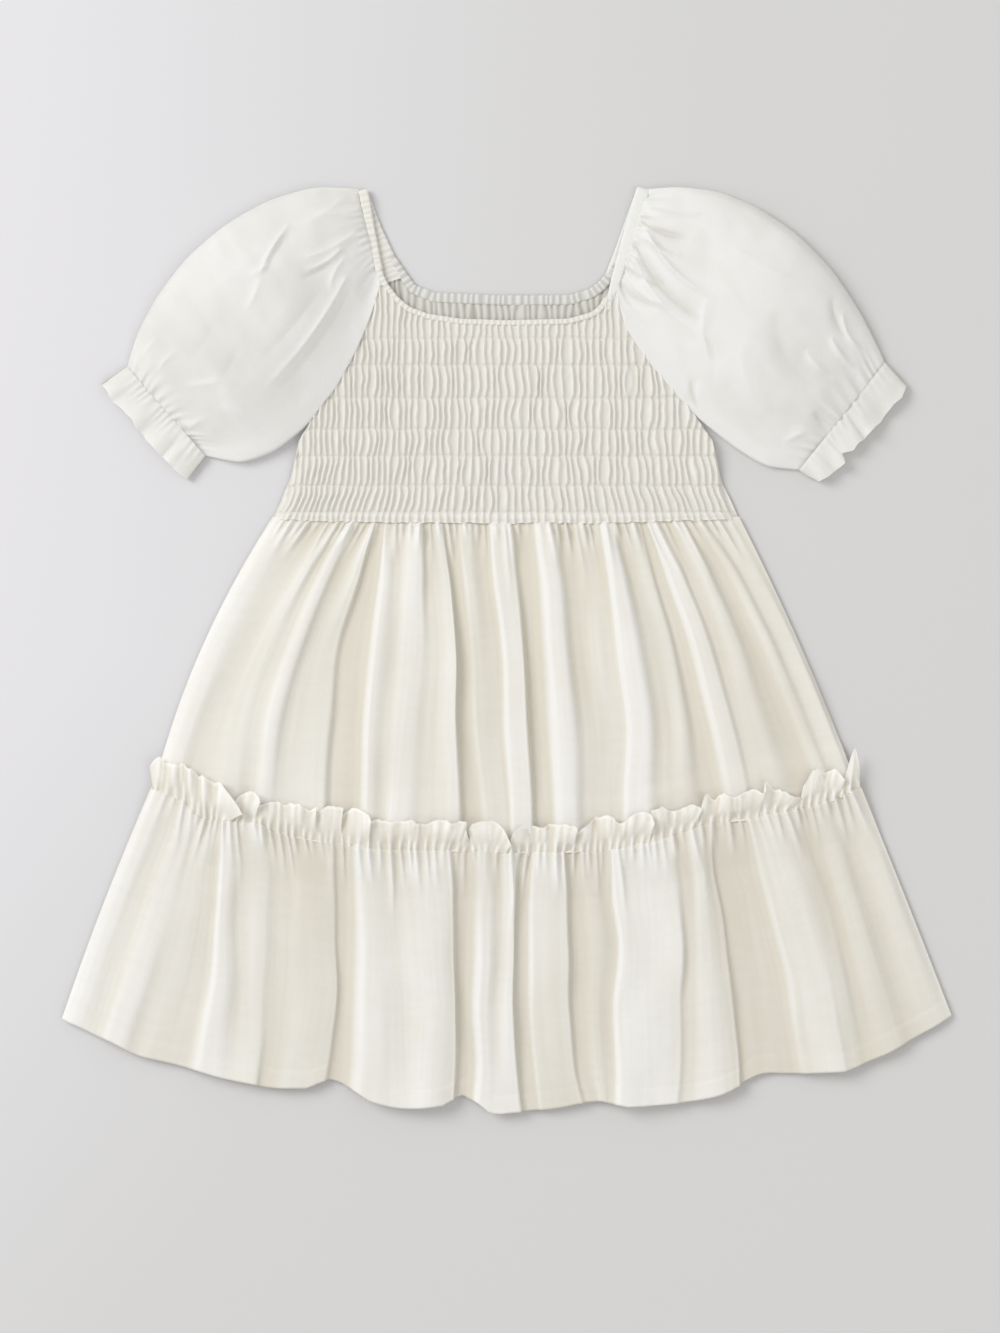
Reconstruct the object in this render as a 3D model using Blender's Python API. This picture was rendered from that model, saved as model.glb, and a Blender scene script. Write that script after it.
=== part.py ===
"""A child's tiered dress of light cream cotton, laid flat on a table and seen from above.

The smocked bodice, the two puff sleeves with frilled cuffs, the gathered skirt and the
lower tier with its standing heading are each a thin wall of cloth, front and back apart.
Frame: metres, X to the wearer's left as seen (right in the view), Y towards the neck, Z up
from the table. Sizes in the tables are millimetres and are scaled once, in add_body.
"""

import math

import bmesh
import bpy
from mathutils import Vector
from mathutils.geometry import delaunay_2d_cdt
import numpy as np

MM = 0.001

# Driving dimensions, in millimetres
CLOTH = 1.2  # wall of a cloth panel
SEAM = 0.35  # space between two pieces at a seam
TIER_SPACE = 0.9  # space in plan between the skirt and the tier sewn to it
LAYER = 0.5  # air between the back cloth and the front cloth that lies on it
BACK_TOP = 2.2  # upper face of the plain bodice back
FRONT_BASE = 2.8  # plain underside of the bodice front
PLEAT_RISE = 2.3  # crest of a smocking pleat above the front's own wall
BACK_WAVE = 1.8  # arch of the back panels between the places where they touch the table
GATHER = 0.9  # rise of the small gathers at a gathered seam
HEADING = 17.0  # height of the lower tier's standing top edge
HEADING_BACK = 14.0  # the same on the back, pressed flat under the skirt
HEADING_LIFT = 1.65  # how far the cloth that lies on a pressed heading is raised
FRILL_WAVE = 2.6  # wave of the heading at its free edge
CUFF_OPEN = 7.4  # middle of the lower cloth to middle of the upper cloth at the cuff
WAIST_Y = 84.0  # the waist seam at the sides
SIDE_FLARE = 0.42  # how fast the skirt's side runs outwards below the waist
HEM_BACK = -281.0  # lowest y of the back tier, which the front hem mostly covers
NECK_CUT = 2.25  # from the neckline's middle to the edge of the panel sewn to its casing

ROWS_SKIRT, ROWS_TIER = 9, 6
SKIRT_BACK_STATIONS = [0, 0.3, 0.6, 0.82, 0.92, 1]
TIER_BACK_STATIONS = [0, 0.1, 0.4, 0.7, 1]
COLUMNS_PER_FOLD = 2
COLUMNS_BACK = 36
RINGS_SLEEVE, AROUND_SLEEVE = 10, 34
PLEATS_FRONT, PLEATS_BACK = 46, 26
PLEAT_ROWS = [84, 100, 120, 160, 230]  # heights y at which the pleats' spread is given
PLEAT_SPREAD = [149, 142, 138.5, 137, 137]  # half the spread of the pleats at each
CUFF_WAVES = 6

# Plan lines, each a short list of (x, y) points in millimetres
WAIST = [(-150, 84), (-100, 82), (0, 81), (92, 82), (150, 84)]
TIER_SEAM = [
    (-226, -88), (-208, -95), (-193, -107), (-159, -110), (-140, -118), (-113, -123),
    (-84, -127), (-55, -127), (3, -129), (60, -128), (91, -123), (129, -110),
    (153, -108), (169, -104), (196, -99), (226, -87),
]
HEM = [
    (-284, -236), (-262, -247), (-237, -259), (-210, -265), (-185, -273), (-152, -280),
    (-123, -280), (-119, -274), (-106, -275), (-97, -281), (-95, -286), (-75, -292),
    (-61, -293), (-36, -290), (-34, -284), (-22, -285), (-18, -293), (-10, -297),
    (8, -295), (31, -293), (49, -289), (67, -288), (69, -292), (91, -291), (115, -289),
    (138, -284), (150, -278), (164, -270), (184, -271), (218, -269), (239, -260),
    (262, -247), (285, -234),
]
NECK_FRONT = [(-71, 226), (-62, 217.5), (-50, 213), (-29, 209.8), (0, 208.8), (40, 209.8),
              (55, 214), (62, 223)]
NECK_BACK = [(-66, 240), (-59, 229), (-46, 224), (-2, 222.4), (41, 223.4), (53, 228), (60, 241)]
BACK_TOP_EDGE = [(-77, 228), (-65, 226), (-60, 222.6), (-46, 219.4), (-2, 218.5), (41, 219.4),
                 (54, 222.6), (61, 226), (67, 220)]
RAGLAN_LEFT = [(-78, 226), (-88, 209), (-97, 190), (-110, 167), (-132, 134)]
RAGLAN_RIGHT = [(68, 218), (82, 195), (96, 176), (112, 157), (132, 134)]
SIDE_LEFT = [(-138, 109), (-149, 85)]
SIDE_RIGHT = [(138, 107), (149, 85)]

# Elastic rows of the smocking, y of each
ELASTIC_ROWS = [199, 182, 161, 141, 124, 105, 88]

# Folds of the upper skirt from the left edge to the right one: where the line of each
# crest or trough runs at the waist, halfway and at the tier seam, and its height there.
SKIRT_FOLDS = [
    # x_top, x_mid, x_low, z_top, z_mid, z_low
    (-149, -196, -225, 0.0, 0.0, 0.0),
    (-139, -186, -215, 2.2, 4.0, 2.5),
    (-118, -173, -208, 0.8, 1.4, 1.0),
    (-108, -160, -177, 2.6, 5.0, 3.5),
    (-103, -152, -166, 1.6, 3.6, 2.2),
    (-98, -142, -158, 3.2, 6.6, 4.4),
    (-88, -132, -145, 0.8, 3.6, 3.0),
    (-84, -118, -124, 2.8, 4.6, 4.0),
    (-80, -98, -103, 0.5, 0.4, 0.6),
    (-75, -86, -90, 3.0, 6.6, 5.2),
    (-69, -77, -83, 1.6, 5.2, 4.2),
    (-56, -65, -75, 3.8, 8.4, 5.6),
    (-50, -48, -50, 1.2, 4.6, 4.0),
    (-43, -37, -36, 3.2, 6.2, 5.2),
    (-36, -30, -20, 0.5, 0.5, 0.8),
    (-27, -18, -9, 3.4, 4.2, 3.4),
    (-15, -11, -3, 1.0, 3.6, 3.4),
    (-8, 2, 5, 3.8, 8.0, 5.6),
    (11, 17, 24, 0.8, 0.3, 0.6),
    (23, 33, 38, 3.8, 7.6, 5.4),
    (37, 50, 57, 1.0, 3.6, 3.0),
    (47, 60, 65, 3.0, 4.6, 3.8),
    (54, 66, 69, 1.6, 4.2, 3.2),
    (62, 74, 78, 3.4, 8.4, 5.6),
    (72, 96, 106, 1.0, 3.2, 3.2),
    (80, 104, 115, 3.2, 4.6, 4.0),
    (86, 111, 131, 0.3, 0.2, 0.3),
    (92, 123, 148, 3.8, 8.0, 5.4),
    (101, 138, 160, 1.5, 4.2, 3.6),
    (108, 147, 170, 3.2, 5.4, 4.2),
    (116, 162, 198, 0.8, 0.6, 0.8),
    (123, 170, 207, 3.0, 5.4, 3.2),
    (129, 177, 213, 1.4, 3.0, 1.8),
    (136, 184, 219, 2.0, 3.4, 1.8),
    (149, 190, 225, 0.0, 0.0, 0.0),
]

# Folds of the lower tier, the same columns from the tier seam to the hem
TIER_FOLDS = [
    # x_top, x_mid, x_low, z_top, z_mid, z_low
    (-226, -257, -284, 0.0, 0.0, 0.0),
    (-218, -248, -275, 2.4, 3.2, 2.0),
    (-211, -239, -266, 1.4, 1.6, 1.4),
    (-202, -223, -252, 3.4, 5.6, 4.6),
    (-195, -215, -236, 2.2, 3.0, 1.6),
    (-191, -207, -227, 2.0, 2.6, 2.0),
    (-184, -194, -209, 1.4, 2.0, 1.8),
    (-177, -182, -188, 3.6, 6.6, 5.6),
    (-170, -171, -175, 2.0, 4.2, 4.0),
    (-160, -160, -166, 3.6, 5.6, 5.0),
    (-147, -144, -156, 1.4, 2.6, 2.0),
    (-134, -129, -142, 3.0, 5.0, 4.0),
    (-115, -112, -120, 3.0, 4.8, 4.6),
    (-104, -105, -108, 0.4, 0.2, 0.0),
    (-89, -88, -87, 4.0, 8.6, 8.6),
    (-72, -69, -65, 2.4, 6.6, 7.4),
    (-55, -50, -52, 3.6, 8.2, 8.2),
    (-38, -36, -37, 3.4, 6.6, 6.6),
    (-27, -28, -28, 0.4, 0.0, 0.0),
    (-12, -15, -16, 4.0, 8.2, 8.0),
    (-6, -7, -8, 2.4, 6.6, 7.0),
    (1, 1, 0, 4.0, 7.6, 7.2),
    (14, 8, 11, 0.6, 0.3, 0.8),
    (25, 20, 25, 4.0, 8.0, 7.2),
    (32, 30, 38, 3.8, 7.6, 6.6),
    (43, 42, 53, 0.4, 0.1, 0.3),
    (55, 57, 62, 2.8, 4.0, 3.6),
    (65, 65, 66, 2.2, 2.6, 2.6),
    (71, 72, 72, 4.0, 8.6, 8.2),
    (86, 89, 89, 3.2, 8.0, 8.0),
    (102, 110, 106, 3.6, 7.0, 6.4),
    (109, 118, 114, 1.0, 1.0, 2.0),
    (121, 129, 137, 3.8, 7.2, 6.6),
    (129, 138, 148, 2.6, 4.0, 3.4),
    (138, 151, 166, 0.3, 0.0, 0.0),
    (148, 163, 186, 3.0, 4.4, 2.6),
    (165, 189, 210, 4.0, 8.0, 7.0),
    (180, 200, 220, 2.8, 5.0, 4.0),
    (189, 209, 230, 1.4, 2.0, 2.0),
    (200, 220, 242, 3.2, 5.0, 4.0),
    (211, 237, 262, 1.2, 1.6, 1.6),
    (218, 246, 273, 2.4, 4.0, 2.4),
    (226, 256, 285, 0.0, 0.0, 0.0),
]

# Waves of the heading: x of each place where its free edge stands out or sinks back
HEADING_CRESTS = [
    -222, -204, -186, -168, -148, -128, -110, -92, -70, -48, -30, -12, 4, 22, 40, 58,
    76, 96, 116, 134, 152, 170, 186, 200, 213, 223,
]

# Sleeve sections from the neck to the cuff, in plan: the outer fold, the inner edge that
# swells over the seam, the raglan or underarm seam itself, and the height of the puff.
SLEEVE_LEFT = [
    # fold_x, fold_y, inner_x, inner_y, seam_x, seam_y, height
    (-97, 295, -80, 233, -79.7, 232, 6.6),
    (-122, 296, -86, 212, -88.2, 212, 13),
    (-151, 288, -95, 190, -97.4, 191, 19),
    (-178, 273, -108, 166, -110.6, 168, 24),
    (-204, 251, -126.6, 143, -127.6, 143, 26),
    (-223, 226, -147, 127, -147, 127, 24),
    (-235, 204, -169, 119, -169, 119, 17),
    (-242, 181, -192, 124, -192, 124, 8.0),
]
SLEEVE_RIGHT = [
    (92, 295, 70.4, 229, 70.4, 228, 6.6),
    (112, 296, 75.2, 207, 76.6, 206, 13),
    (137, 293, 87, 188, 88.2, 188, 19),
    (161, 283, 102.2, 169, 103.6, 170, 24),
    (186, 266, 121.2, 148, 122.6, 149, 26),
    (208, 244, 146, 129, 146, 129, 24),
    (227, 215, 166, 117, 166, 117, 17),
    (242, 184, 187, 115, 187, 115, 8.0),
]
CUFF_EDGE_LEFT = [(-260, 171), (-252, 157), (-243, 149), (-234, 137), (-218, 119), (-205, 108)]
CUFF_EDGE_RIGHT = [(258, 171), (250, 157), (233, 138), (224, 128), (216, 117), (202, 107)]

CREAM = (0.80, 0.765, 0.70)
CREAM_SLEEVE = (0.82, 0.80, 0.77)
CREAM_TRIM = (0.84, 0.81, 0.765)


def clear_scene():
    for obj in list(bpy.data.objects):
        bpy.data.objects.remove(obj, do_unlink=True)


def cotton(name, colour):
    """A plain matt cloth material."""
    material = bpy.data.materials.new(name)
    material.use_nodes = True
    shader = material.node_tree.nodes["Principled BSDF"]
    shader.inputs["Base Color"].default_value = (*colour, 1.0)
    shader.inputs["Roughness"].default_value = 0.9
    shader.inputs["Metallic"].default_value = 0.0
    return material


def add_body(name, points, faces, material):
    """A closed body from points in millimetres, its faces turned outwards."""
    mesh = bpy.data.meshes.new(name)
    mesh.from_pydata([tuple(float(c) * MM for c in p) for p in points], [], faces)
    bm = bmesh.new()
    bm.from_mesh(mesh)
    bmesh.ops.recalc_face_normals(bm, faces=bm.faces)
    bm.to_mesh(mesh)
    bm.free()
    mesh.materials.append(material)
    obj = bpy.data.objects.new(name, mesh)
    bpy.context.scene.collection.objects.link(obj)
    return obj


def along(points, share):
    """The point at a share of a polyline's length."""
    pts = np.asarray(points, float)
    steps = np.linalg.norm(np.diff(pts, axis=0), axis=1)
    run = np.concatenate([[0.0], np.cumsum(steps)]) / steps.sum()
    return np.array([np.interp(share, run, pts[:, k]) for k in range(pts.shape[1])])


def height_on(line, x):
    """The y of a plan line at x."""
    return float(np.interp(x, [p[0] for p in line], [p[1] for p in line]))


def through(top, mid, low, v):
    """A value that passes through three stations at v = 0, 0.5 and 1."""
    return (
        top * (1 - v) * (1 - 2 * v)
        + mid * 4 * v * (1 - v)
        + low * v * (2 * v - 1)
    )


def smooth_curve(points, count):
    """Points spaced evenly along a rounded line through the given ones."""
    pts = [np.asarray(p, float) for p in points]
    pts = [2 * pts[0] - pts[1]] + pts + [2 * pts[-1] - pts[-2]]
    fine = []
    for i in range(1, len(pts) - 2):
        before, a, b, after = pts[i - 1], pts[i], pts[i + 1], pts[i + 2]
        span = np.linalg.norm(b - a)
        slope_a = (b - before) / (np.linalg.norm(a - before) + span) * span
        slope_b = (after - a) / (np.linalg.norm(after - b) + span) * span
        for t in np.linspace(0, 1, 8, endpoint=False):
            fine.append(
                (1 + 2 * t) * (1 - t) ** 2 * a
                + t * (1 - t) ** 2 * slope_a
                + t * t * (3 - 2 * t) * b
                + t * t * (t - 1) * slope_b
            )
    fine.append(pts[-2])
    return [along(fine, share) for share in np.linspace(0, 1, count)]


def keep_in_section(normal, along_row):
    """Turns a rim's normals so that the rim stays in the upright plane of its own row."""
    beside = np.stack([-along_row[:, 1], along_row[:, 0], np.zeros(len(along_row))], axis=1)
    beside /= np.linalg.norm(beside, axis=1, keepdims=True)
    normal -= (normal * beside).sum(axis=1, keepdims=True) * beside
    normal /= np.linalg.norm(normal, axis=1, keepdims=True)


def wall(name, grid, material, thickness=CLOTH, closed=False, ring=False):
    """A cloth wall on a grid of middle points, with rims along its edges.

    grid is rows x columns x 3. With closed, the last column joins the first. With ring,
    each row goes round in one upright plane.
    """
    mid = np.asarray(grid, float)
    rows, columns = mid.shape[:2]
    if closed:
        across = np.roll(mid, -1, axis=1) - np.roll(mid, 1, axis=1)
    else:
        across = np.gradient(mid, axis=1)
    down = np.gradient(mid, axis=0)
    normal = np.cross(across, down)
    normal /= np.linalg.norm(normal, axis=2, keepdims=True)
    for end in (0, -1):
        run = across[end]
        if ring:
            far = np.linalg.norm(mid[end] - mid[end][0], axis=1).argmax()
            run = np.repeat([mid[end][far] - mid[end][0]], columns, axis=0)
        keep_in_section(normal[end], run)
    outer = mid + normal * thickness / 2
    inner = mid - normal * thickness / 2
    points = np.concatenate([outer.reshape(-1, 3), inner.reshape(-1, 3)])
    points[:, 2] = np.maximum(points[:, 2], 0.0)
    half = rows * columns
    turns = columns if closed else columns - 1
    faces = []
    for r in range(rows - 1):
        for c in range(turns):
            d = (c + 1) % columns
            a, b = r * columns + c, r * columns + d
            e, f = a + columns, b + columns
            faces.append((a, b, f, e))
            faces.append((a + half, e + half, f + half, b + half))
    for c in range(turns):
        d = (c + 1) % columns
        low_a, low_b = (rows - 1) * columns + c, (rows - 1) * columns + d
        faces.append((c, c + half, d + half, d))
        faces.append((low_a, low_b, low_b + half, low_a + half))
    if not closed:
        for r in range(rows - 1):
            a, e = r * columns, (r + 1) * columns
            b, f = a + columns - 1, e + columns - 1
            faces.append((a, e, e + half, a + half))
            faces.append((b, b + half, f + half, f))
    return add_body(name, points, faces, material)


def back_height(x, y):
    """Middle height of the back cloth: low arches that sink to the table between."""
    spread = 1.0 + (WAIST_Y - y) / 300.0
    arch = math.sin(x / (14.0 * spread)) ** 2
    down = min(1.0, max(0.0, (80 - y) / 60.0))
    reach = 1 - abs(x) / (WAIST[-1][0] + (WAIST_Y - y) * SIDE_FLARE)
    above = y - height_on(TIER_SEAM, x)
    if above > 0:
        lift = HEADING_LIFT * min(1.0, max(0.0, (2.6 * HEADING_BACK - above) / HEADING_BACK))
        down *= min(1.0, max(0.0, (above - HEADING_BACK) / HEADING_BACK))
    else:
        lift = 0.0
        down *= min(1.0, -above / HEADING_BACK)
    return CLOTH / 2 + lift + BACK_WAVE * arch * down * min(1.0, max(0.0, reach * 6))


def front_height(x, y, rise):
    """Middle height of the front cloth, which lies on the back cloth or stands clear of it."""
    below = height_on(TIER_SEAM, x) - y
    on_top = 2 * HEADING_LIFT * min(1.0, max(0.0, 1 - below / 30.0)) if below > 0 else 0.0
    return back_height(x, y) + CLOTH + LAYER + on_top + rise


def fold_columns(folds, per_fold):
    """Blends of neighbouring folds: (index, share of the next one) for each column."""
    spans = [(i, k / per_fold) for i in range(len(folds) - 1) for k in range(per_fold)]
    return spans + [(len(folds) - 2, 1.0)]


def folded_grid(folds, top_line, low_line, rows, gathers, gather_fade):
    """Middle points of a gathered panel whose columns run along its folds."""
    columns = fold_columns(folds, COLUMNS_PER_FOLD)
    grid = []
    for r in range(rows + 1):
        v = r / rows
        row = []
        for k, (i, share) in enumerate(columns):
            here, there = folds[i], folds[i + 1]
            x_ends = [here[c] + (there[c] - here[c]) * share for c in range(3)]
            ease = share * share * (3 - 2 * share)
            z_ends = [here[c] + (there[c] - here[c]) * ease for c in range(3, 6)]
            x = through(*x_ends, v)
            y = (1 - v) * height_on(top_line, x_ends[0]) + v * height_on(low_line, x_ends[2])
            edge = min(k, len(columns) - 1 - k)
            fade = max(0.0, 1 - v / gather_fade) if gather_fade else 0.0
            small = GATHER * fade * min(1.0, edge / 3) * (1 if k % 2 else -1)
            rise = max(0.0, through(*z_ends, v) + small * gathers)
            row.append((x, y, front_height(x, y, rise)))
        grid.append(row)
    return grid


def moved(line, dy):
    return [(x, y + dy) for x, y in line]


def make_skirt_front(material):
    grid = folded_grid(
        SKIRT_FOLDS, moved(WAIST, -SEAM / 2), moved(TIER_SEAM, TIER_SPACE / 2), ROWS_SKIRT, 1.0, 0.3
    )
    return wall("skirt_front", grid, material)


def make_tier_front(material):
    grid = folded_grid(TIER_FOLDS, moved(TIER_SEAM, -TIER_SPACE / 2), HEM, ROWS_TIER, 0.8, 0.35)
    return wall("tier_front", grid, material)


def back_grid(top_left, top_right, top_line, low_left, low_right, low_line, bow, stations):
    """Middle points of a back panel between two plan lines, its sides bowed as the front's."""
    grid = []
    for v in stations:
        row = []
        for c in range(COLUMNS_BACK + 1):
            u = c / COLUMNS_BACK
            x_top = top_left + (top_right - top_left) * u
            x_low = low_left + (low_right - low_left) * u
            x = (1 - v) * x_top + v * x_low + bow * 4 * v * (1 - v) * (2 * u - 1)
            y = (1 - v) * height_on(top_line, x_top) + v * height_on(low_line, x_low)
            row.append((x, y, back_height(x, y)))
        grid.append(row)
    return grid


def make_skirt_back(material):
    first, last = SKIRT_FOLDS[0], SKIRT_FOLDS[-1]
    grid = back_grid(
        first[0] + 0.4, last[0] - 0.4, moved(WAIST, -SEAM / 2),
        first[2] + 0.4, last[2] - 0.4, moved(TIER_SEAM, TIER_SPACE / 2), 2.5,
        SKIRT_BACK_STATIONS,
    )
    return wall("skirt_back", grid, material)


def make_tier_back(material):
    first, last = TIER_FOLDS[0], TIER_FOLDS[-1]
    hem = [(x, max(y, HEM_BACK) + 1.5) for x, y in HEM]
    grid = back_grid(
        first[0] + 0.4, last[0] - 0.4, moved(TIER_SEAM, -TIER_SPACE / 2),
        first[2] + 1.5, last[2] - 1.5, hem, 1.0, TIER_BACK_STATIONS,
    )
    return wall("tier_back", grid, material)


def skirt_rise(x, v):
    """Height of the skirt front's fold surface at x and v, read between its fold lines."""
    xs = [through(*fold[:3], v) for fold in SKIRT_FOLDS]
    zs = [through(*fold[3:], v) for fold in SKIRT_FOLDS]
    return float(np.interp(x, xs, zs))


def make_heading_front(material):
    """The tier's top edge, standing on the skirt front and waving at its free side."""
    stations = []
    for a, b in zip(HEADING_CRESTS[:-1], HEADING_CRESTS[1:]):
        stations += [(a, 1.0), (a + (b - a) * 0.27, 0.45), (a + (b - a) * 0.5, 0.0),
                     (a + (b - a) * 0.76, 0.5)]
    stations.append((HEADING_CRESTS[-1], 1.0))
    grid = []
    for row in range(3):
        lift = row / 2
        line = []
        for k, (x, out) in enumerate(stations):
            seam_y = height_on(TIER_SEAM, x)
            y = seam_y + TIER_SPACE / 2 + HEADING * lift * (1 - 0.10 * out)
            v = (height_on(WAIST, x) - y) / (height_on(WAIST, x) - seam_y)
            base = front_height(x, y, skirt_rise(x, v)) + CLOTH + 0.55
            line.append((x * (1 + 0.004 * lift), y, base + 0.4 + (0.5 + FRILL_WAVE * lift) * out))
        grid.append(line)
    return wall("tier_heading_front", grid, material)


def make_heading_back(material):
    """The heading's back half, pressed flat on the table under the skirt back's edge."""
    grid = []
    for lift in (0, 1):
        line = []
        for x in np.linspace(SKIRT_FOLDS[0][2] + 0.4, SKIRT_FOLDS[-1][2] - 0.4, COLUMNS_BACK + 1):
            y = height_on(TIER_SEAM, x) + TIER_SPACE / 2 + HEADING_BACK * lift
            line.append((x, y, CLOTH / 2))
        grid.append(line)
    return wall("tier_heading_back", grid, material)


def panel(name, outline, inner_points, top_of, bottom, material):
    """A wall with a plain flat underside and relief on top, on a closed plan outline."""
    count = len(outline)
    edge = [(i, (i + 1) % count) for i in range(count)]
    plan = [Vector(p) for p in outline + inner_points]
    verts, _, faces, _, _, _ = delaunay_2d_cdt(plan, edge, [], 1, 1e-4)
    top = [(v.x, v.y, top_of(v.x, v.y)) for v in verts]
    # The underside needs the outline's own points only
    under, _, under_faces, _, _, _ = delaunay_2d_cdt(plan[:count], edge, [], 1, 1e-4)
    low = [(v.x, v.y, bottom) for v in under]
    shift = len(top)
    bodies = [tuple(f) for f in faces]
    bodies += [tuple(shift + i for i in reversed(f)) for f in under_faces]
    for a, b in edge:
        bodies.append((a, b, shift + b, shift + a))
    return add_body(name, top + low, bodies, material)


def pleat_x(k, y):
    """x of the k-th crest or trough line of the smocking at a height y."""
    share = k / (2 * PLEATS_FRONT)
    return (2 * share - 1) * np.interp(y, PLEAT_ROWS, PLEAT_SPREAD)


def make_bodice_front(material):
    neck = moved(NECK_FRONT, -NECK_CUT)[1:-1]
    crown = [*SIDE_LEFT[::-1], *RAGLAN_LEFT[::-1], *neck, *RAGLAN_RIGHT, *SIDE_RIGHT]

    def upper_y(k):
        """Where the k-th pleat line meets the panel's upper boundary."""
        low, high = WAIST_Y, PLEAT_ROWS[-1]
        for _ in range(40):
            y = (low + high) / 2
            inside = y < height_on(crown, pleat_x(k, y))
            low, high = (y, high) if inside else (low, y)
        return low

    lines = range(2, 2 * PLEATS_FRONT - 1)
    low_x = [pleat_x(k, WAIST_Y) for k in lines]
    waist = [(x, height_on(WAIST, x) + SEAM / 2) for x in low_x]
    tops = [(k, upper_y(k)) for k in lines]
    arch = [(pleat_x(k, y), y) for k, y in tops if y > RAGLAN_LEFT[-1][1] + 2]
    outline = [*SIDE_LEFT[::-1], RAGLAN_LEFT[-1], *arch, RAGLAN_RIGHT[-1], *SIDE_RIGHT]
    outline += waist[::-1]
    levels = [(218, 0.8), (204.5, 0.9)]
    for a, b in zip(ELASTIC_ROWS[:-1], ELASTIC_ROWS[1:]):
        levels += [(a, 0.35), ((a + b) / 2, 1.0)]
    levels += [(ELASTIC_ROWS[-1], 0.35)]
    inner = []
    rise = {}
    for k in lines:
        top_y = upper_y(k)
        for y, share in levels:
            if 86 < y < top_y - 1.8:
                x = pleat_x(k, y)
                inner.append((x, y))
                rise[(round(x, 2), round(y, 2))] = share * (1.0 if k % 2 else 0.0)

    def top_of(x, y):
        share = rise.get((round(x, 2), round(y, 2)))
        if share is None:
            return FRONT_BASE + CLOTH + 0.3
        return FRONT_BASE + CLOTH + 0.3 + PLEAT_RISE * share

    return panel("bodice_front", outline, inner, top_of, FRONT_BASE, material)


def make_bodice_back(material):
    neck = BACK_TOP_EDGE
    outline = [SIDE_LEFT[1], SIDE_LEFT[0], *RAGLAN_LEFT[::-1][:-1], *neck[:2]]
    pleats = [
        (-66 + 132 * k / (2 * PLEATS_BACK), k % 2) for k in range(1, 2 * PLEATS_BACK)
    ]
    outline += [(x, height_on(neck, x)) for x, _ in pleats if -63 < x < 57]
    outline += [*neck[-2:], *RAGLAN_RIGHT[1:], *SIDE_RIGHT, (92, 82.2), (0, 81.2), (-92, 82.2)]
    inner = []
    rise = {}
    for x, crest in pleats:
        for y in (213.0, 205.0):
            if -60 < x < 54 and y < height_on(neck, x) - 2:
                inner.append((x, y))
                rise[(round(x, 2), y)] = 0.35 * crest

    def top_of(x, y):
        return BACK_TOP - 0.35 + rise.get((round(x, 2), round(y, 2)), 0.0)

    return panel("bodice_back", outline, inner, top_of, 0.0, material)


def casing(name, path, width, height, pucker, material, level=None):
    """A flat elastic casing swept along a path, its edges rounded and its face puckered.

    path is a list of (x, y, z) middle points; the band lies flat across its run.
    """
    pts = [np.asarray(p, float) for p in path]
    side_ref = None
    rings = []
    for i, point in enumerate(pts):
        ahead = pts[min(i + 1, len(pts) - 1)] - pts[max(i - 1, 0)]
        ahead /= np.linalg.norm(ahead)
        flat = np.array([ahead[1], -ahead[0], 0.0])
        if np.linalg.norm(flat) < 0.25:
            flat = side_ref
        flat = flat / np.linalg.norm(flat)
        if side_ref is not None and np.dot(flat, side_ref) < 0:
            flat = -flat
        side_ref = flat
        up = np.cross(flat, ahead)
        swell = 1.0 + (pucker if i % 2 else -pucker)
        ring = []
        for a, b in ((-0.38, -0.5), (0.38, -0.5), (0.5, 0.0), (0.34, 0.5), (-0.34, 0.5),
                     (-0.5, 0.0)):
            grow = swell if level is None or b * up[2] > 0 else 1.0
            ring.append(point + flat * a * width * (0.5 + swell / 2) + up * b * height * grow)
        rings.append(ring)
    count = len(rings[0])
    points = [p for ring in rings for p in ring]
    if level is not None:
        points = [np.array([p[0], p[1], max(p[2], level)]) for p in points]
    faces = [tuple(range(count))[::-1]]
    for r in range(len(rings) - 1):
        for c in range(count):
            d = (c + 1) % count
            faces.append((r * count + c, r * count + d, (r + 1) * count + d, (r + 1) * count + c))
    last = (len(rings) - 1) * count
    faces.append(tuple(last + c for c in range(count)))
    return add_body(name, points, faces, material)


def make_neck_front(material):
    path = [(*along(NECK_FRONT, t), FRONT_BASE + 1.5) for t in np.linspace(0.03, 0.97, 40)]
    return casing("neck_casing_front", path, 3.2, 3.0, 0.08, material)


def make_neck_back(material):
    path = [(*along(NECK_BACK, t), 1.1) for t in np.linspace(0.03, 0.97, 40)]
    return casing("neck_casing_back", path, 6.0, 2.2, 0.10, material, level=0.0)


def make_neck_side(name, low, high, material):
    """The shoulder part of the neck casing: up the front, over and down the back."""
    low, high = np.array(low, float), np.array(high, float)
    run = high - low
    length = np.linalg.norm(run)
    run /= length
    path = []
    for k in range(17):
        p = low + run * length * k / 17
        path.append((p[0], p[1], 4.5))
    for turn in (30, 60, 90, 120, 150):
        a = math.radians(turn)
        p = high + run * 1.7 * math.sin(a)
        path.append((p[0], p[1], 2.8 + 1.7 * math.cos(a)))
    for k in range(16, 1, -1):
        p = low + run * length * k / 17
        path.append((p[0], p[1], 1.1))
    return casing(name, path, 7.0, 1.9, 0.08, material)


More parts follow.
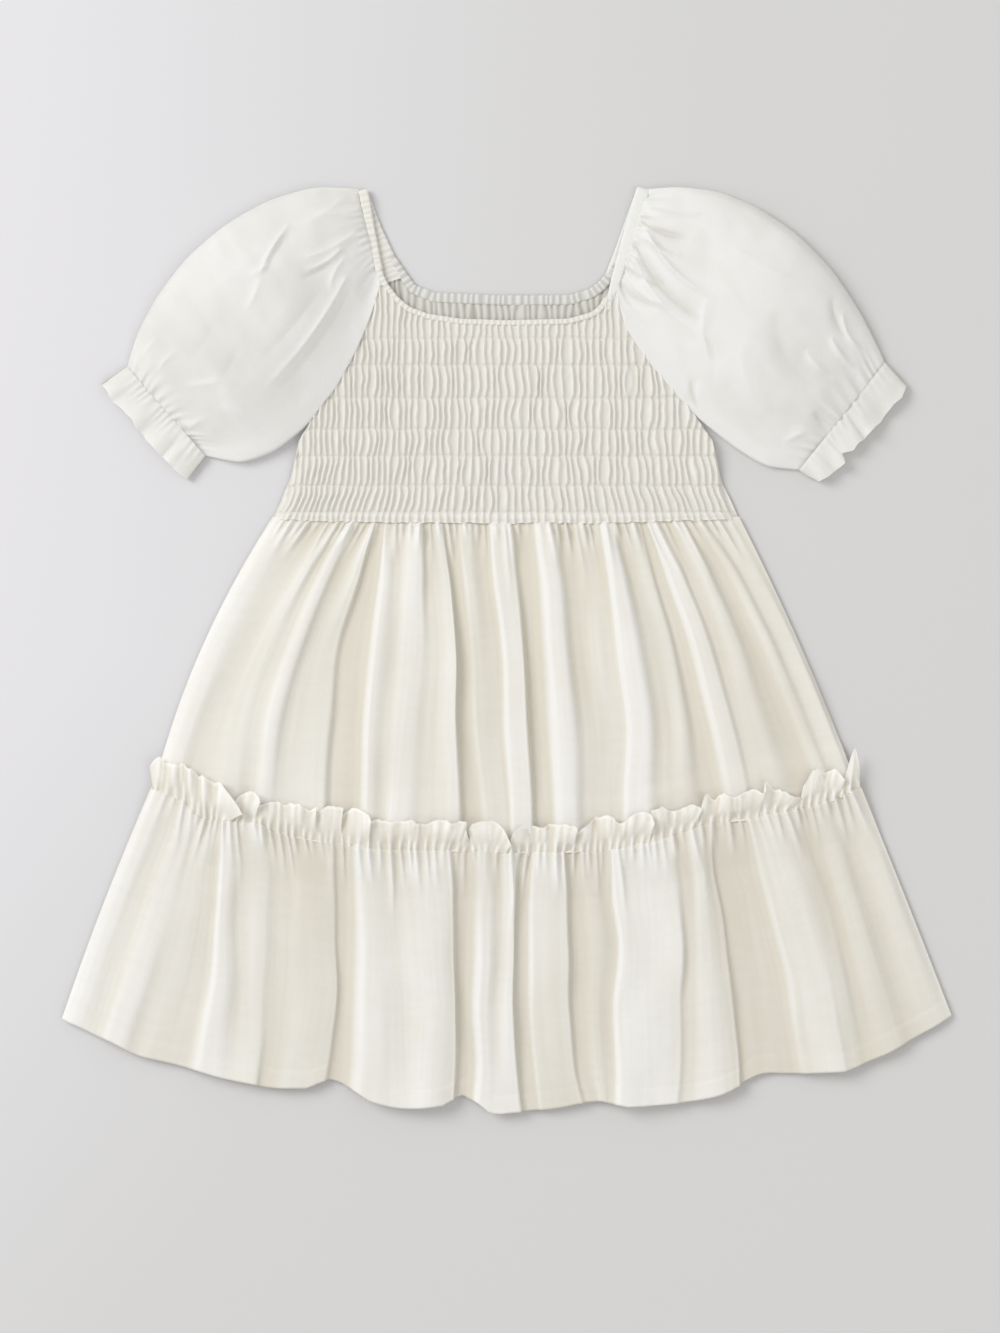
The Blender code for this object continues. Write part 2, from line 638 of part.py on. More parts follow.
def sleeve_section(row, share, neck_gather, cuff_gather):
    """Middle points round one sleeve section, from its back seam edge to its front one."""
    fold = np.array(row[0:2])
    inner = np.array(row[2:4])
    seam = np.array(row[4:6])
    height = row[6]
    chord = inner - fold
    length = np.linalg.norm(chord)
    unit = chord / length
    base = CLOTH / 2
    closed = min(1.0, max(0.0, (share - 0.50) / 0.12))
    back_edge = seam - unit * (SEAM + CLOTH / 2) * (0.5 + 0.5 * closed) - unit * SEAM
    turn = min(5.0, height * 0.42)
    seam_z = (FRONT_BASE + 1.2) * (1 - closed) + base * closed
    swell_z = min(height * 0.55, 9.5)
    marks = [
        (back_edge, base),
        (back_edge * 0.6 + fold * 0.4, base),
        (back_edge * 0.25 + fold * 0.75, base),
        (fold + unit * turn * 0.7, base),
        (fold, base + turn * 0.75),
        (fold + unit * length * 0.05, height * 0.60),
        (fold + unit * length * 0.20, height * 0.88),
        (fold + unit * length * 0.42, height),
        (fold + unit * length * 0.66, height * 0.97),
        (fold + unit * length * 0.86, height * 0.80),
        (inner - unit * 1.0, max(swell_z, seam_z + 1.6)),
        (inner * 0.3 + seam * 0.7, seam_z * 0.5 + swell_z * 0.5),
        (seam - unit * SEAM, seam_z),
    ]
    points = smooth_curve([(p[0], p[1], z) for p, z in marks], AROUND_SLEEVE)
    out = []
    for i, p in enumerate(points):
        over = (i - 13) / (AROUND_SLEEVE - 17)
        if 0 < over < 1:
            ripple = math.sin(math.pi * over) ** 0.5 * math.cos(math.pi * (i - 13))
            p = p + np.array([0, 0, ripple * (neck_gather + cuff_gather)])
        out.append(p)
    return out


def make_sleeve(name, table, material):
    """One raglan puff sleeve: a single sheet round the arm, open at its long seam."""
    columns = np.asarray(table, float)
    stations = np.linspace(0, 1, len(columns))
    grid = []
    for ring in range(RINGS_SLEEVE + 1):
        share = ring / RINGS_SLEEVE
        row = [np.interp(share, stations, columns[:, c]) for c in range(columns.shape[1])]
        neck = 0.55 * max(0.0, 1 - share / 0.35)
        cuff = 0.65 * max(0.0, 1 - (1 - share) / 0.3)
        grid.append(sleeve_section(row, share, neck, cuff))
    return wall(name, grid, material, ring=True)


def make_cuff(name, table, edge, material):
    """The frill beyond the sleeve's elastic: a flattened tube that waves at its edge."""
    fold = np.array(table[-1][0:2], float)
    inner = np.array(table[-1][2:4], float)
    unit = (inner - fold) / np.linalg.norm(inner - fold)
    outward = np.array([-unit[1], unit[0]])
    if np.dot(outward, along(edge, 0.5) - fold) < 0:
        outward = -outward
    start = outward * SEAM
    around = 10 * CUFF_WAVES // 2 + 2
    middle = CLOTH / 2 + CUFF_OPEN / 2
    grid = []
    for row in range(4):
        v = row / 3
        line = []
        for k in range(around):
            angle = 2 * math.pi * k / around
            share = 0.5 - 0.5 * math.cos(angle)
            near = fold + start + (inner - fold) * share
            plan = near * (1 - v) + along(edge, share) * v
            lift = math.sin(angle)
            wave = math.cos(2 * math.pi * CUFF_WAVES * share) * v * abs(lift)
            size = math.copysign(min(1.0, abs(lift) * 1.5), lift)
            z = middle + size * CUFF_OPEN / 2
            if lift > 0:
                z += 1.6 * wave - 0.8 * v
            line.append((plan[0], plan[1], z))
        grid.append(line)
    return wall(name, grid, material, closed=True, ring=True)


def rest_on_origin():
    """Moves every mesh so that the dress's box is centred on the origin, on the table."""
    meshes = [obj.data for obj in bpy.data.objects if obj.type == "MESH"]
    corners = np.array([v.co[:] for mesh in meshes for v in mesh.vertices])
    middle = (corners.min(axis=0) + corners.max(axis=0)) / 2
    shift = Vector((middle[0], middle[1], corners[:, 2].min()))
    for mesh in meshes:
        for vertex in mesh.vertices:
            vertex.co -= shift


def main():
    clear_scene()
    body = cotton("cream_cotton_body", CREAM)
    sleeve = cotton("cream_cotton_sleeve", CREAM_SLEEVE)
    trim = cotton("cream_cotton_trim", CREAM_TRIM)
    make_bodice_back(body)
    make_bodice_front(body)
    make_neck_front(trim)
    make_neck_back(trim)
    make_neck_side("neck_casing_left", (-75.7, 233), (-91.8, 292), trim)
    make_neck_side("neck_casing_right", (67.2, 231), (87.0, 293), trim)
    make_sleeve("sleeve_left", SLEEVE_LEFT, sleeve)
    make_sleeve("sleeve_right", SLEEVE_RIGHT, sleeve)
    make_cuff("cuff_frill_left", SLEEVE_LEFT, CUFF_EDGE_LEFT, trim)
    make_cuff("cuff_frill_right", SLEEVE_RIGHT, CUFF_EDGE_RIGHT, trim)
    make_skirt_back(body)
    make_skirt_front(body)
    make_heading_front(trim)
    make_heading_back(trim)
    make_tier_back(body)
    make_tier_front(body)
    rest_on_origin()


main()
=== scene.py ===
"""The looks of a child's cream cotton dress, laid flat and seen from straight above.

Every piece is a thin sheet of cloth on the form of its solid, with the folds, gathers,
smocking and frills in full. Tables are in millimetres; meshes are in metres.
"""

import math

import bpy
import numpy as np
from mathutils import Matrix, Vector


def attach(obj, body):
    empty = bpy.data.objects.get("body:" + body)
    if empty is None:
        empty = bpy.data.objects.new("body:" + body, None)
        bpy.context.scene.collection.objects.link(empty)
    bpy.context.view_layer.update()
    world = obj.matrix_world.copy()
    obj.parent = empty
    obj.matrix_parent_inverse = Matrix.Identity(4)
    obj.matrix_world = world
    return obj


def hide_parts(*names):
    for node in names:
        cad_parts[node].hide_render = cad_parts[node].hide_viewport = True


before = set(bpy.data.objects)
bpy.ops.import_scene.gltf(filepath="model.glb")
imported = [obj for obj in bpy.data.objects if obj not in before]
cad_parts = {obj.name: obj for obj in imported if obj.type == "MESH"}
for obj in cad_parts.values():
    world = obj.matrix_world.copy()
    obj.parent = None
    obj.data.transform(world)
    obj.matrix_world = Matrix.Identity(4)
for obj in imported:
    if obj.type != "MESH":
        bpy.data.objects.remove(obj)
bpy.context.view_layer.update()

MM = 0.001
TABLE_GAP = 0.00015  # least height over the table, in metres

# Driving sizes, millimetres
CLOTH = 1.2  # wall of the cloth
LAYER = 0.5  # air between a front and the back under it
FRONT_BASE = 2.8  # lowest height of the bodice front
BACK_WAVE = 1.8  # height of the arches in the backs
WAIST_Y = 84  # the waist's two ends, up from the middle of the plan
BODICE_HALF = 149  # half the bodice's width at the waist
PLEAT_LINES = 60  # pleats of the smocking, side to side
UNDER_SLEEVE = 3.0  # how far the bodice runs on under a sleeve
HEADING_END = 226  # half the length of the ruffle
HEADING_BACK = 14.0  # height of the ruffle on the back
HEADING_LIFT = 1.65  # its thickness, with air, under the skirt
CASING_FLOOR = 0.2  # least height of a casing
CUFF_OPEN = 7.4  # height inside a cuff
HEM_BAND = 12.0  # turned-up edge of the tier
FOLD_LEAN = 0.45  # how far a fold leans over for its height
TALLEST = (3.6, 8.2, 6.4)  # a tall fold at the top, middle and low end of a panel
TIER_HEIGHT = 0.88  # share of its table's heights at which the tier's folds stand

# Seams and edges in plan
WAIST = [(-150, WAIST_Y), (-100, 82), (0, 81), (92, 82), (150, WAIST_Y)]
TIER_SEAM = [
    (-226, -88), (-208, -95), (-193, -107), (-159, -110), (-140, -118), (-113, -123),
    (-84, -127), (-55, -127), (3, -129), (60, -128), (91, -123), (129, -110),
    (153, -108), (169, -104), (196, -99), (226, -87),
]
HEM = [
    (-284, -236), (-262, -247), (-237, -259), (-210, -265), (-185, -273), (-152, -280),
    (-123, -280), (-119, -274), (-106, -275), (-97, -281), (-95, -286), (-75, -292),
    (-61, -293), (-36, -290), (-34, -284), (-22, -285), (-18, -293), (-10, -297),
    (8, -295), (31, -293), (49, -289), (67, -288), (69, -292), (91, -291), (115, -289),
    (138, -284), (150, -278), (164, -270), (184, -271), (218, -269), (239, -260),
    (262, -247), (285, -234),
]
NECK_FRONT = [(-71, 226), (-62, 217.5), (-50, 213), (-29, 209.8), (0, 208.8), (40, 209.8),
              (55, 214), (62, 223)]
RAGLAN_LEFT = [(-78, 226), (-88, 209), (-97, 190), (-110, 167), (-132, 134)]
RAGLAN_RIGHT = [(68, 218), (82, 195), (96, 176), (112, 157), (132, 134)]
SIDE_LEFT = [(-138, 109), (-149, 85)]
SIDE_RIGHT = [(138, 107), (149, 85)]
PLEATS_TOP, PLEATS_LOW = 240, 78
ELASTIC_ROWS = [199, 182, 161, 141, 124, 105, 88]
# How far the pleats part between two elastic rows, from the neck down, in pleats
CELL_SHIFT = [0.30, 0.46, 0.58, 0.42, 0.48, 0.34, 0.30, 0.20]
# Small gathers along a seam: pitch, height, shortest reach and longest reach
SKIRT_GATHER = (5.4, 4.0, 14, 38)
TIER_GATHER = (5.3, 3.5, 14, 42)
TIER_SEED = 11  # the ruffle and the tier share their gathers

SKIRT_FOLDS = [
    # x_top, x_mid, x_low, z_top, z_mid, z_low
    (-149, -196, -225, 0, 0, 0), (-139, -186, -215, 2.2, 4, 2.5),
    (-118, -173, -208, 1, 2, 1.4), (-108, -160, -177, 2.6, 5, 3.5),
    (-103, -152, -166, 1.6, 3.6, 2.2), (-98, -142, -158, 3.2, 6.6, 4.4),
    (-88, -132, -145, 0.8, 3.6, 3), (-84, -118, -124, 2.8, 4.6, 4),
    (-80, -98, -103, 0.5, 0.4, 0.6), (-75, -86, -90, 3, 6.6, 5.2),
    (-69, -77, -83, 1.6, 5.2, 4.2), (-56, -65, -75, 3.8, 8.4, 5.6),
    (-50, -48, -50, 1.2, 4.6, 4), (-43, -37, -36, 3.2, 6.2, 5.2),
    (-36, -30, -20, 0.5, 0.5, 0.8), (-27, -18, -9, 3.4, 4.2, 3.4),
    (-15, -11, -3, 1, 3.6, 3.4), (-8, 2, 5, 3.8, 8, 5.6),
    (11, 17, 24, 0.8, 0.3, 0.6), (23, 33, 38, 3.8, 7.6, 5.4),
    (37, 50, 57, 1, 3.6, 3), (47, 60, 65, 3, 4.6, 3.8),
    (54, 66, 69, 1.6, 4.2, 3.2), (62, 74, 78, 3.4, 8.4, 5.6),
    (72, 96, 106, 1, 3.2, 3.2), (80, 104, 115, 3.2, 4.6, 4),
    (86, 111, 131, 0.6, 1.6, 1.4), (92, 123, 148, 3.8, 8, 5.4),
    (101, 138, 160, 1.5, 4.2, 3.6), (108, 147, 170, 3.2, 5.4, 4.2),
    (116, 162, 198, 1.2, 2.4, 1.8), (123, 170, 207, 3, 5.4, 3.2),
    (129, 177, 213, 1.4, 3, 1.8), (136, 184, 219, 2, 3.4, 1.8),
    (149, 190, 225, 0, 0, 0),
]
TIER_FOLDS = [
    # x_top, x_mid, x_low, z_top, z_mid, z_low
    (-226, -257, -284, 0, 0, 0), (-218, -248, -275, 2.4, 3.2, 2),
    (-211, -239, -266, 1.4, 1.6, 1.4), (-202, -223, -252, 3.4, 5.6, 4.6),
    (-195, -215, -236, 2.2, 3, 1.6), (-191, -207, -227, 2, 2.6, 2),
    (-184, -194, -209, 1.4, 2, 1.8), (-177, -182, -188, 3.6, 6.6, 5.6),
    (-170, -171, -175, 2, 4.2, 4), (-160, -160, -166, 3.6, 5.6, 5),
    (-147, -144, -156, 1.4, 2.6, 2), (-134, -129, -142, 1.8, 4.4, 4),
    (-115, -112, -120, 1.8, 3.8, 4), (-104, -105, -108, 0.4, 0.2, 0),
    (-89, -88, -87, 4, 8.6, 8.6), (-72, -69, -65, 2.4, 6.2, 7.2),
    (-55, -52, -54, 3.6, 7.4, 7.4), (-38, -36, -37, 3, 5.2, 5.2),
    (-27, -28, -28, 0.4, 0, 0), (-12, -15, -16, 3, 7.6, 7),
    (-6, -8, -8, 2, 6.2, 6.4), (3, -2, 3, 3, 6.6, 6),
    (12, 6, 15, 0.8, 1.2, 1.4), (21, 18, 25, 3.8, 5.4, 3),
    (32, 31, 41, 3.6, 5.2, 2.8), (42, 45, 55, 0.4, 0.2, 0.5),
    (54, 57, 62, 2.8, 3.2, 2.4), (64, 65, 66, 2.4, 2.2, 1.8),
    (71, 72, 72, 4.2, 8.6, 8.2), (86, 89, 89, 4, 8.2, 8.2),
    (101, 108, 106, 3.8, 7.2, 6.8), (110, 116, 114, 1.6, 3.8, 4),
    (119, 126, 130, 3, 6.6, 6.4), (127, 135, 146, 1.8, 4.4, 4.6),
    (134, 144, 154, 0.3, 0, 0.2), (147, 163, 179, 0.3, 0, 0.2),
    (158, 177, 194, 3, 5.6, 4.6), (170, 192, 212, 4, 7.6, 6.4),
    (181, 204, 223, 2.8, 4.8, 3.8), (190, 213, 233, 1.4, 2, 2),
    (200, 223, 246, 3, 4.6, 3.6), (211, 237, 262, 1.2, 1.6, 1.6),
    (218, 246, 273, 2.4, 4, 2.4), (226, 256, 285, 0, 0, 0),
]
SLEEVE_LEFT = [
    # fold_x, fold_y, inner_x, inner_y, seam_x, seam_y, height
    (-97, 295, -80, 233, -79.7, 232, 6.6),
    (-122, 296, -86, 212, -88.2, 212, 13),
    (-151, 288, -95, 190, -97.4, 191, 19),
    (-178, 273, -108, 166, -110.6, 168, 24),
    (-204, 251, -126.6, 143, -127.6, 143, 26),
    (-223, 226, -147, 127, -147, 127, 24),
    (-235, 204, -169, 119, -169, 119, 17),
    (-242, 181, -192, 124, -192, 124, 8),
]
SLEEVE_RIGHT = [
    # fold_x, fold_y, inner_x, inner_y, seam_x, seam_y, height
    (92, 295, 70.4, 229, 70.4, 228, 6.6),
    (112, 296, 75.2, 207, 76.6, 206, 13),
    (137, 293, 87, 188, 88.2, 188, 19),
    (161, 283, 102.2, 169, 103.6, 170, 24),
    (186, 266, 121.2, 148, 122.6, 149, 26),
    (208, 244, 146, 129, 146, 129, 24),
    (227, 215, 166, 117, 166, 117, 17),
    (242, 184, 187, 115, 187, 115, 8),
]
# The cuff frills' free edges in plan
CUFF_EDGE_LEFT = [
    (-258.6, 169.6), (-252.2, 158.1), (-242.6, 149.8), (-238, 144), (-233.6, 137.6),
    (-225, 127.5), (-217, 119), (-210, 112), (-204.2, 108.2),
]
CUFF_EDGE_RIGHT = [
    (256.6, 168.3), (254, 161), (249, 156.8), (241, 146), (232.3, 137.6), (223.5, 128),
    (214.5, 124), (217.6, 118), (209, 112), (201.6, 107.5), (194, 110),
]

# The ruffle's free edge: where each point is sewn, where it stands, and how proud it is
HEADING_EDGE = [
    # x_seam, x_top, y_top, lift
    (-226, -226, -82, 0.4), (-225, -227, -74, 1.5), (-223, -221, -68, 4.2),
    (-219, -217, -73, 1.2), (-213, -212, -73, 3.2), (-207, -207, -73, 0.8),
    (-202, -201, -75, 4.2), (-197, -196, -80, 1), (-192, -193, -80, 4.4),
    (-188, -187, -84, 0.6), (-184, -181, -86, 5.6), (-181, -173, -96, 7.4),
    (-178, -168, -105, 6.4), (-175, -173, -98, 0.8), (-171, -168, -92, 1.6),
    (-166, -161, -91, 5), (-162, -156, -97, 6.2), (-158, -158, -99, 0.8),
    (-150, -149, -97, 2.2), (-141, -141, -99, 0.8), (-134, -133, -97, 3),
    (-127, -125, -102, 0.8), (-123, -120, -99, 4.8), (-119, -121, -103, 1),
    (-113, -112, -99, 3), (-107, -104, -101, 5.6), (-103, -106, -106, 1.2),
    (-98, -99, -101, 2.6), (-92, -89, -104, 5.4), (-88, -85, -109, 6),
    (-85, -90, -110, 1), (-78, -79, -108, 2.2), (-70, -69, -110, 0.8),
    (-62, -60, -109, 3.4), (-54, -54, -112, 0.8), (-46, -44, -109, 2.8),
    (-38, -33, -110, 5.4), (-33, -26, -109, 7), (-29, -25, -116, 5),
    (-25, -23, -121, 1), (-21, -23, -117, 3), (-17, -21, -111, 6),
    (-14, -14, -108, 7.2), (-10, -6, -110, 5.4), (-5, 1, -117, 5.8),
    (0, 4, -124, 6), (5, 3, -120, 1.2), (9, 8, -114, 2.2),
    (15, 17, -112, 0.8), (22, 23, -113, 3.2), (29, 29, -111, 1),
    (36, 40, -112, 4.6), (42, 46, -115, 5.8), (46, 43, -118, 1),
    (52, 53, -110, 3.2), (58, 58, -107, 0.8), (65, 66, -106, 4),
    (72, 74, -110, 0.8), (80, 82, -105, 3.4), (86, 91, -105, 5.6),
    (91, 95, -111, 5.4), (94, 92, -104, 1), (99, 98, -100, 3.2),
    (106, 106, -103, 0.8), (113, 115, -99, 3.2), (119, 125, -101, 5.4),
    (123, 124, -106, 1), (127, 127, -92, 5.4), (131, 133, -95, 0.8),
    (138, 139, -91, 3.4), (146, 146, -94, 0.8), (154, 155, -90, 3),
    (160, 165, -91, 5.4), (164, 165, -83, 5.8), (168, 171, -88, 1),
    (174, 177, -90, 4.6), (180, 185, -93, 5.4), (184, 190, -92, 1),
    (188, 190, -86, 3), (193, 196, -76, 5.4), (200, 204, -78, 1.6),
    (207, 211, -76, 4.8), (212, 216, -83, 5.4), (216, 216, -82, 1),
    (220, 222, -63, 5), (223, 225, -72, 2.4), (226, 226, -83, 0.4),
]

# Soft creases on the sleeves: a ridge (height > 0) or trough from one point to another.
# Each fades at both ends, or starts at the given share of its height, as at a casing.
CREASES_LEFT = [
    # x_a, y_a, x_b, y_b, bow, width, height, start
    (-106, 287, -136, 270, 3, 3, 1.2, 0.5), (-137, 272, -156, 237, -2, 1.6, 2.4, 0),
    (-133, 270, -152, 240, -2, 3.4, -1.2, 0), (-156, 238, -166, 214, 2, 3, 1.5, 0),
    (-150, 246, -162, 238, 1, 1.8, 1.6, 0), (-106, 254, -128, 241, 2, 1.6, 2.2, 0.5),
    (-110, 249, -131, 236, 2, 2.4, -1.4, 0), (-104, 248, -112, 226, -2, 2, 1.4, 0.5),
    (-103, 235, -154, 166, 4, 2.2, 2.4, 0.5), (-100, 228, -150, 160, 4, 4, -1.3, 0.5),
    (-114, 236, -160, 180, 3, 4, -1, 0), (-96, 267, -137, 248, 4, 2.6, 1.4, 0.5),
    (-92, 282, -128, 282, 4, 2.4, 1.2, 0.5), (-176, 172, -206, 168, 1, 2.6, 1.2, 0),
    (-182, 156, -167, 147, 0, 2.6, 1.2, 0), (-182, 212, -202, 182, 1, 5, -0.8, 0),
    (-168, 196, -184, 166, 1, 4, -0.8, 0), (-227, 222, -240, 188, -4, 2.2, 1.4, 0),
    (-232, 186, -222, 198, 1, 1.8, 1.5, 0), (-222, 176, -208, 190, 2, 1.8, 1.4, 0),
    (-214, 150, -194, 127, 1, 1.4, -2.2, 0), (-206, 136, -190, 148, 2, 2.2, 1.2, 0),
    (-150, 262, -200, 222, 4, 8, 0.9, 0),
]
CREASES_RIGHT = [
    # x_a, y_a, x_b, y_b, bow, width, height, start
    (93, 280, 124, 277, -2, 2.2, 1.8, 0.5), (89, 272, 118, 262, -2, 2.2, -2.6, 0.5),
    (90, 266, 134, 222, -6, 2.6, 2.8, 0.5), (84, 257, 134, 204, -7, 2.6, -2.4, 0.5),
    (82, 250, 124, 200, -6, 2.8, 2.6, 0.5), (78, 243, 102, 232, -2, 2.2, -2.3, 0.5),
    (77, 238, 106, 218, -4, 2.2, 2.4, 0.5), (76, 232, 98, 217, -2, 2.2, -2.2, 0.5),
    (74, 226, 92, 208, -2, 2.2, 1.8, 0.5), (90, 261, 112, 250, -2, 1.8, 2, 0.5),
    (128, 224, 142, 168, -9, 5, 2.2, 0), (120, 210, 130, 168, 6, 5, -1.6, 0),
    (118, 173, 124, 153, -2, 1.8, -3.6, 0), (124, 172, 130, 148, -3, 2.4, 2.2, 0),
    (150, 196, 166, 150, -6, 6, 1.2, 0), (208, 226, 222, 196, -5, 2.8, -1.6, 0),
    (214, 216, 228, 190, -4, 2, 1.6, 0), (196, 152, 206, 138, 0, 3.2, -1.4, 0),
    (206, 176, 190, 190, 2, 2.4, 1.4, 0), (222, 180, 206, 200, 2, 2, 1.5, 0),
    (170, 214, 200, 166, -8, 9, -1.2, 0), (140, 262, 196, 232, -6, 7, 1, 0),
    (176, 132, 192, 140, 0, 2.6, 1.4, 0),
]


# Small mathematics
def along(points, share):
    """Points at the given shares of a polyline's length."""
    pts = np.asarray(points, float)
    steps = np.linalg.norm(np.diff(pts, axis=0), axis=1)
    run = np.concatenate([[0.0], np.cumsum(steps)]) / steps.sum()
    return np.stack([np.interp(share, run, pts[:, k]) for k in range(pts.shape[1])], axis=-1)


def height_on(line, x):
    """Height of a plan line, given as points from left to right, at x."""
    pts = np.asarray(line, float)
    return np.interp(x, pts[:, 0], pts[:, 1])


def through(top, mid, low, v):
    """The parabola through three values, at share v of the way down."""
    return top * (1 - v) * (1 - 2 * v) + mid * 4 * v * (1 - v) + low * v * (2 * v - 1)


def smoothstep(x):
    x = np.clip(x, 0.0, 1.0)
    return x * x * (3 - 2 * x)


def noise(x, y, seed, size_x, size_y):
    """Soft value noise in -1..1, the same for the same seed."""
    table = np.random.default_rng(seed).uniform(-1, 1, (97, 89))
    gx, gy = np.asarray(x) / size_x + 31.7, np.asarray(y) / size_y + 17.3
    ix, iy = np.floor(gx).astype(int), np.floor(gy).astype(int)
    fx, fy = smoothstep(gx - ix), smoothstep(gy - iy)
    ix, iy, jx, jy = ix % 97, iy % 89, (ix + 1) % 97, (iy + 1) % 89
    low = table[ix, iy] * (1 - fx) + table[jx, iy] * fx
    high = table[ix, jy] * (1 - fx) + table[jx, jy] * fx
    return low * (1 - fy) + high * fy


def wander(x, seed, size):
    """The same noise along a line."""
    return noise(x, 0 * x, seed, size, 1)


def hermite(t, a, b, slope_a, slope_b):
    """A smooth step from a to b with the given slopes at its ends."""
    return (
        (1 + 2 * t) * (1 - t) ** 2 * a
        + t * (1 - t) ** 2 * slope_a
        + t * t * (3 - 2 * t) * b
        + t * t * (t - 1) * slope_b
    )


def softened(values, times):
    """A line's points drawn towards their neighbours, its two ends kept."""
    for _ in range(times):
        values[1:-1] = 0.25 * values[:-2] + 0.5 * values[1:-1] + 0.25 * values[2:]
    return values


def monotone(xk, zk, index, share):
    """Heights between knots, rounded at crests and troughs, one row of knots per row."""
    h = np.diff(xk, axis=1)
    d = np.diff(zk, axis=1) / h
    slope = np.zeros_like(zk)
    same = d[:, :-1] * d[:, 1:] > 0
    w1, w2 = 2 * h[:, 1:] + h[:, :-1], h[:, 1:] + 2 * h[:, :-1]
    with np.errstate(divide="ignore", invalid="ignore"):
        harmonic = (w1 + w2) / (w1 / d[:, :-1] + w2 / d[:, 1:])
    slope[:, 1:-1] = np.where(same, harmonic, 0.0)
    step = h[:, index]
    return hermite(share[None, :], zk[:, index], zk[:, index + 1], step * slope[:, index],
                   step * slope[:, index + 1])


def creased(x, y, table):
    """Sum of the soft ridges and troughs of a table, at plan points."""
    z = np.zeros_like(x)
    for x_a, y_a, x_b, y_b, bow, width, height, start in table:
        run = np.hypot(x_b - x_a, y_b - y_a)
        ux, uy = (x_b - x_a) / run, (y_b - y_a) / run
        t = ((x - x_a) * ux + (y - y_a) * uy) / run
        off = -(x - x_a) * uy + (y - y_a) * ux
        inside = np.clip(t, 0, 1)
        off = off - bow * 4 * inside * (1 - inside)
        beyond = np.maximum(np.maximum(-t, t - 1), 0) * run
        lead = start * 0.4
        taper = np.abs(np.sin(np.pi * (lead + (1 - lead) * inside))) ** 0.9
        across = (np.abs(off) / width) ** 1.25
        z += height * taper * np.exp(-across - (beyond / (1.4 * width)) ** 2)
    return z


# Meshes and materials
def sheet_mesh(name, grid, material, painted_light_and_tone=None, closed=False):
    """A smooth sheet on a grid of points in millimetres, with its painted light and shade, and
    tone, from 0 to 1.
    """
    pts = np.asarray(grid, float)
    tone = np.full(pts.shape[:2], 0.6) if painted_light_and_tone is None else np.clip(painted_light_and_tone, 0, 1)
    rows, columns = pts.shape[:2]
    pts = pts.reshape(-1, 3) * MM
    pts[:, 2] = np.maximum(pts[:, 2], TABLE_GAP)
    c = np.arange(columns if closed else columns - 1)
    d = (c + 1) % columns
    a = np.arange(rows - 1)[:, None] * columns
    b = a + columns
    quads = np.stack([a + c, b + c, b + d, a + d], axis=2).reshape(-1, 4)
    mesh = bpy.data.meshes.new(name)
    mesh.from_pydata(pts.tolist(), [], quads.tolist(), shade_flat=False)
    mesh.validate()
    obj = bpy.data.objects.new(name, mesh)
    bpy.context.scene.collection.objects.link(obj)
    mesh.materials.append(material)
    mesh.attributes.new("painted_light_and_tone", "FLOAT", "POINT").data.foreach_set("value", tone.ravel())
    return obj


def shader(tree, kind, values=(), operation=None):
    """A new shader node, with (socket, value) pairs set on its own sockets."""
    made = tree.nodes.new("ShaderNode" + kind)
    if operation:
        made.operation = operation
    for socket, value in values:
        made.inputs[socket].default_value = value
    return made


def wire(one, output, other, socket):
    """Link an output of one shader node to a socket of another."""
    one.id_data.links.new(one.outputs[output], other.inputs[socket])


def cotton(name, colour, shade, through_light, crinkle):
    """Light plain-weave cotton: slubs, faint crinkle, soft sheen, some light through it.

    The sheet's own "painted_light_and_tone" value, painted light and shade, takes the tone
    from the painted shade colour, low in a fold, to colour, where a pleat or a rim stands in the
    light.
    """
    material = bpy.data.materials.new(name)
    material.use_nodes = True
    tree = material.node_tree
    tree.nodes.clear()
    out = shader(tree, "OutputMaterial")
    mix = shader(tree, "MixShader", [(0, through_light)])
    body = shader(tree, "BsdfPrincipled", [
        ("Roughness", 0.88), ("Specular IOR Level", 0.25),
        ("Sheen Weight", 0.12), ("Sheen Roughness", 0.5),
    ])
    back = shader(tree, "BsdfTranslucent")
    coord = shader(tree, "TexCoord")
    # thread slubs run up and down the dress, thinner ones across it
    slub_map = shader(tree, "Mapping", [("Scale", (1500.0, 130.0, 700.0))])
    slub = shader(tree, "TexNoise", [("Scale", 1.0), ("Detail", 2.0)])
    weft_map = shader(tree, "Mapping", [("Scale", (160.0, 1600.0, 700.0))])
    weft = shader(tree, "TexNoise", [("Scale", 1.0), ("Detail", 1.0)])
    soft = shader(tree, "TexNoise", [("Scale", 90.0), ("Detail", 3.0)])
    tone = shader(tree, "MixRGB", [(1, (*shade, 1.0)), (2, (*colour, 1.0))])
    threads = shader(tree, "Math", operation="ADD")
    relief = shader(tree, "Math", [(1, crinkle)], operation="MULTIPLY_ADD")
    bump = shader(tree, "Bump", [("Strength", 0.35), ("Distance", 0.00025)])
    for mapping, texture in ((slub_map, slub), (weft_map, weft)):
        wire(coord, "Object", mapping, "Vector")
        wire(mapping, "Vector", texture, "Vector")
    wire(coord, "Object", soft, "Vector")
    wire(slub, "Fac", threads, 0)
    wire(weft, "Fac", threads, 1)
    wire(soft, "Fac", relief, 0)
    wire(threads, 0, relief, 2)
    wire(relief, 0, bump, "Height")
    # painted light and shade: the sheet's own value mixes the painted shade colour with the colour
    painted_light_and_tone = shader(tree, "Attribute")
    painted_light_and_tone.attribute_name = "painted_light_and_tone"
    wire(painted_light_and_tone, "Fac", tone, 0)
    wire(tone, 0, body, "Base Color")
    wire(tone, 0, back, "Color")
    wire(bump, "Normal", body, "Normal")
    wire(body, 0, mix, 1)
    wire(back, 0, mix, 2)
    wire(mix, 0, out, "Surface")
    return material


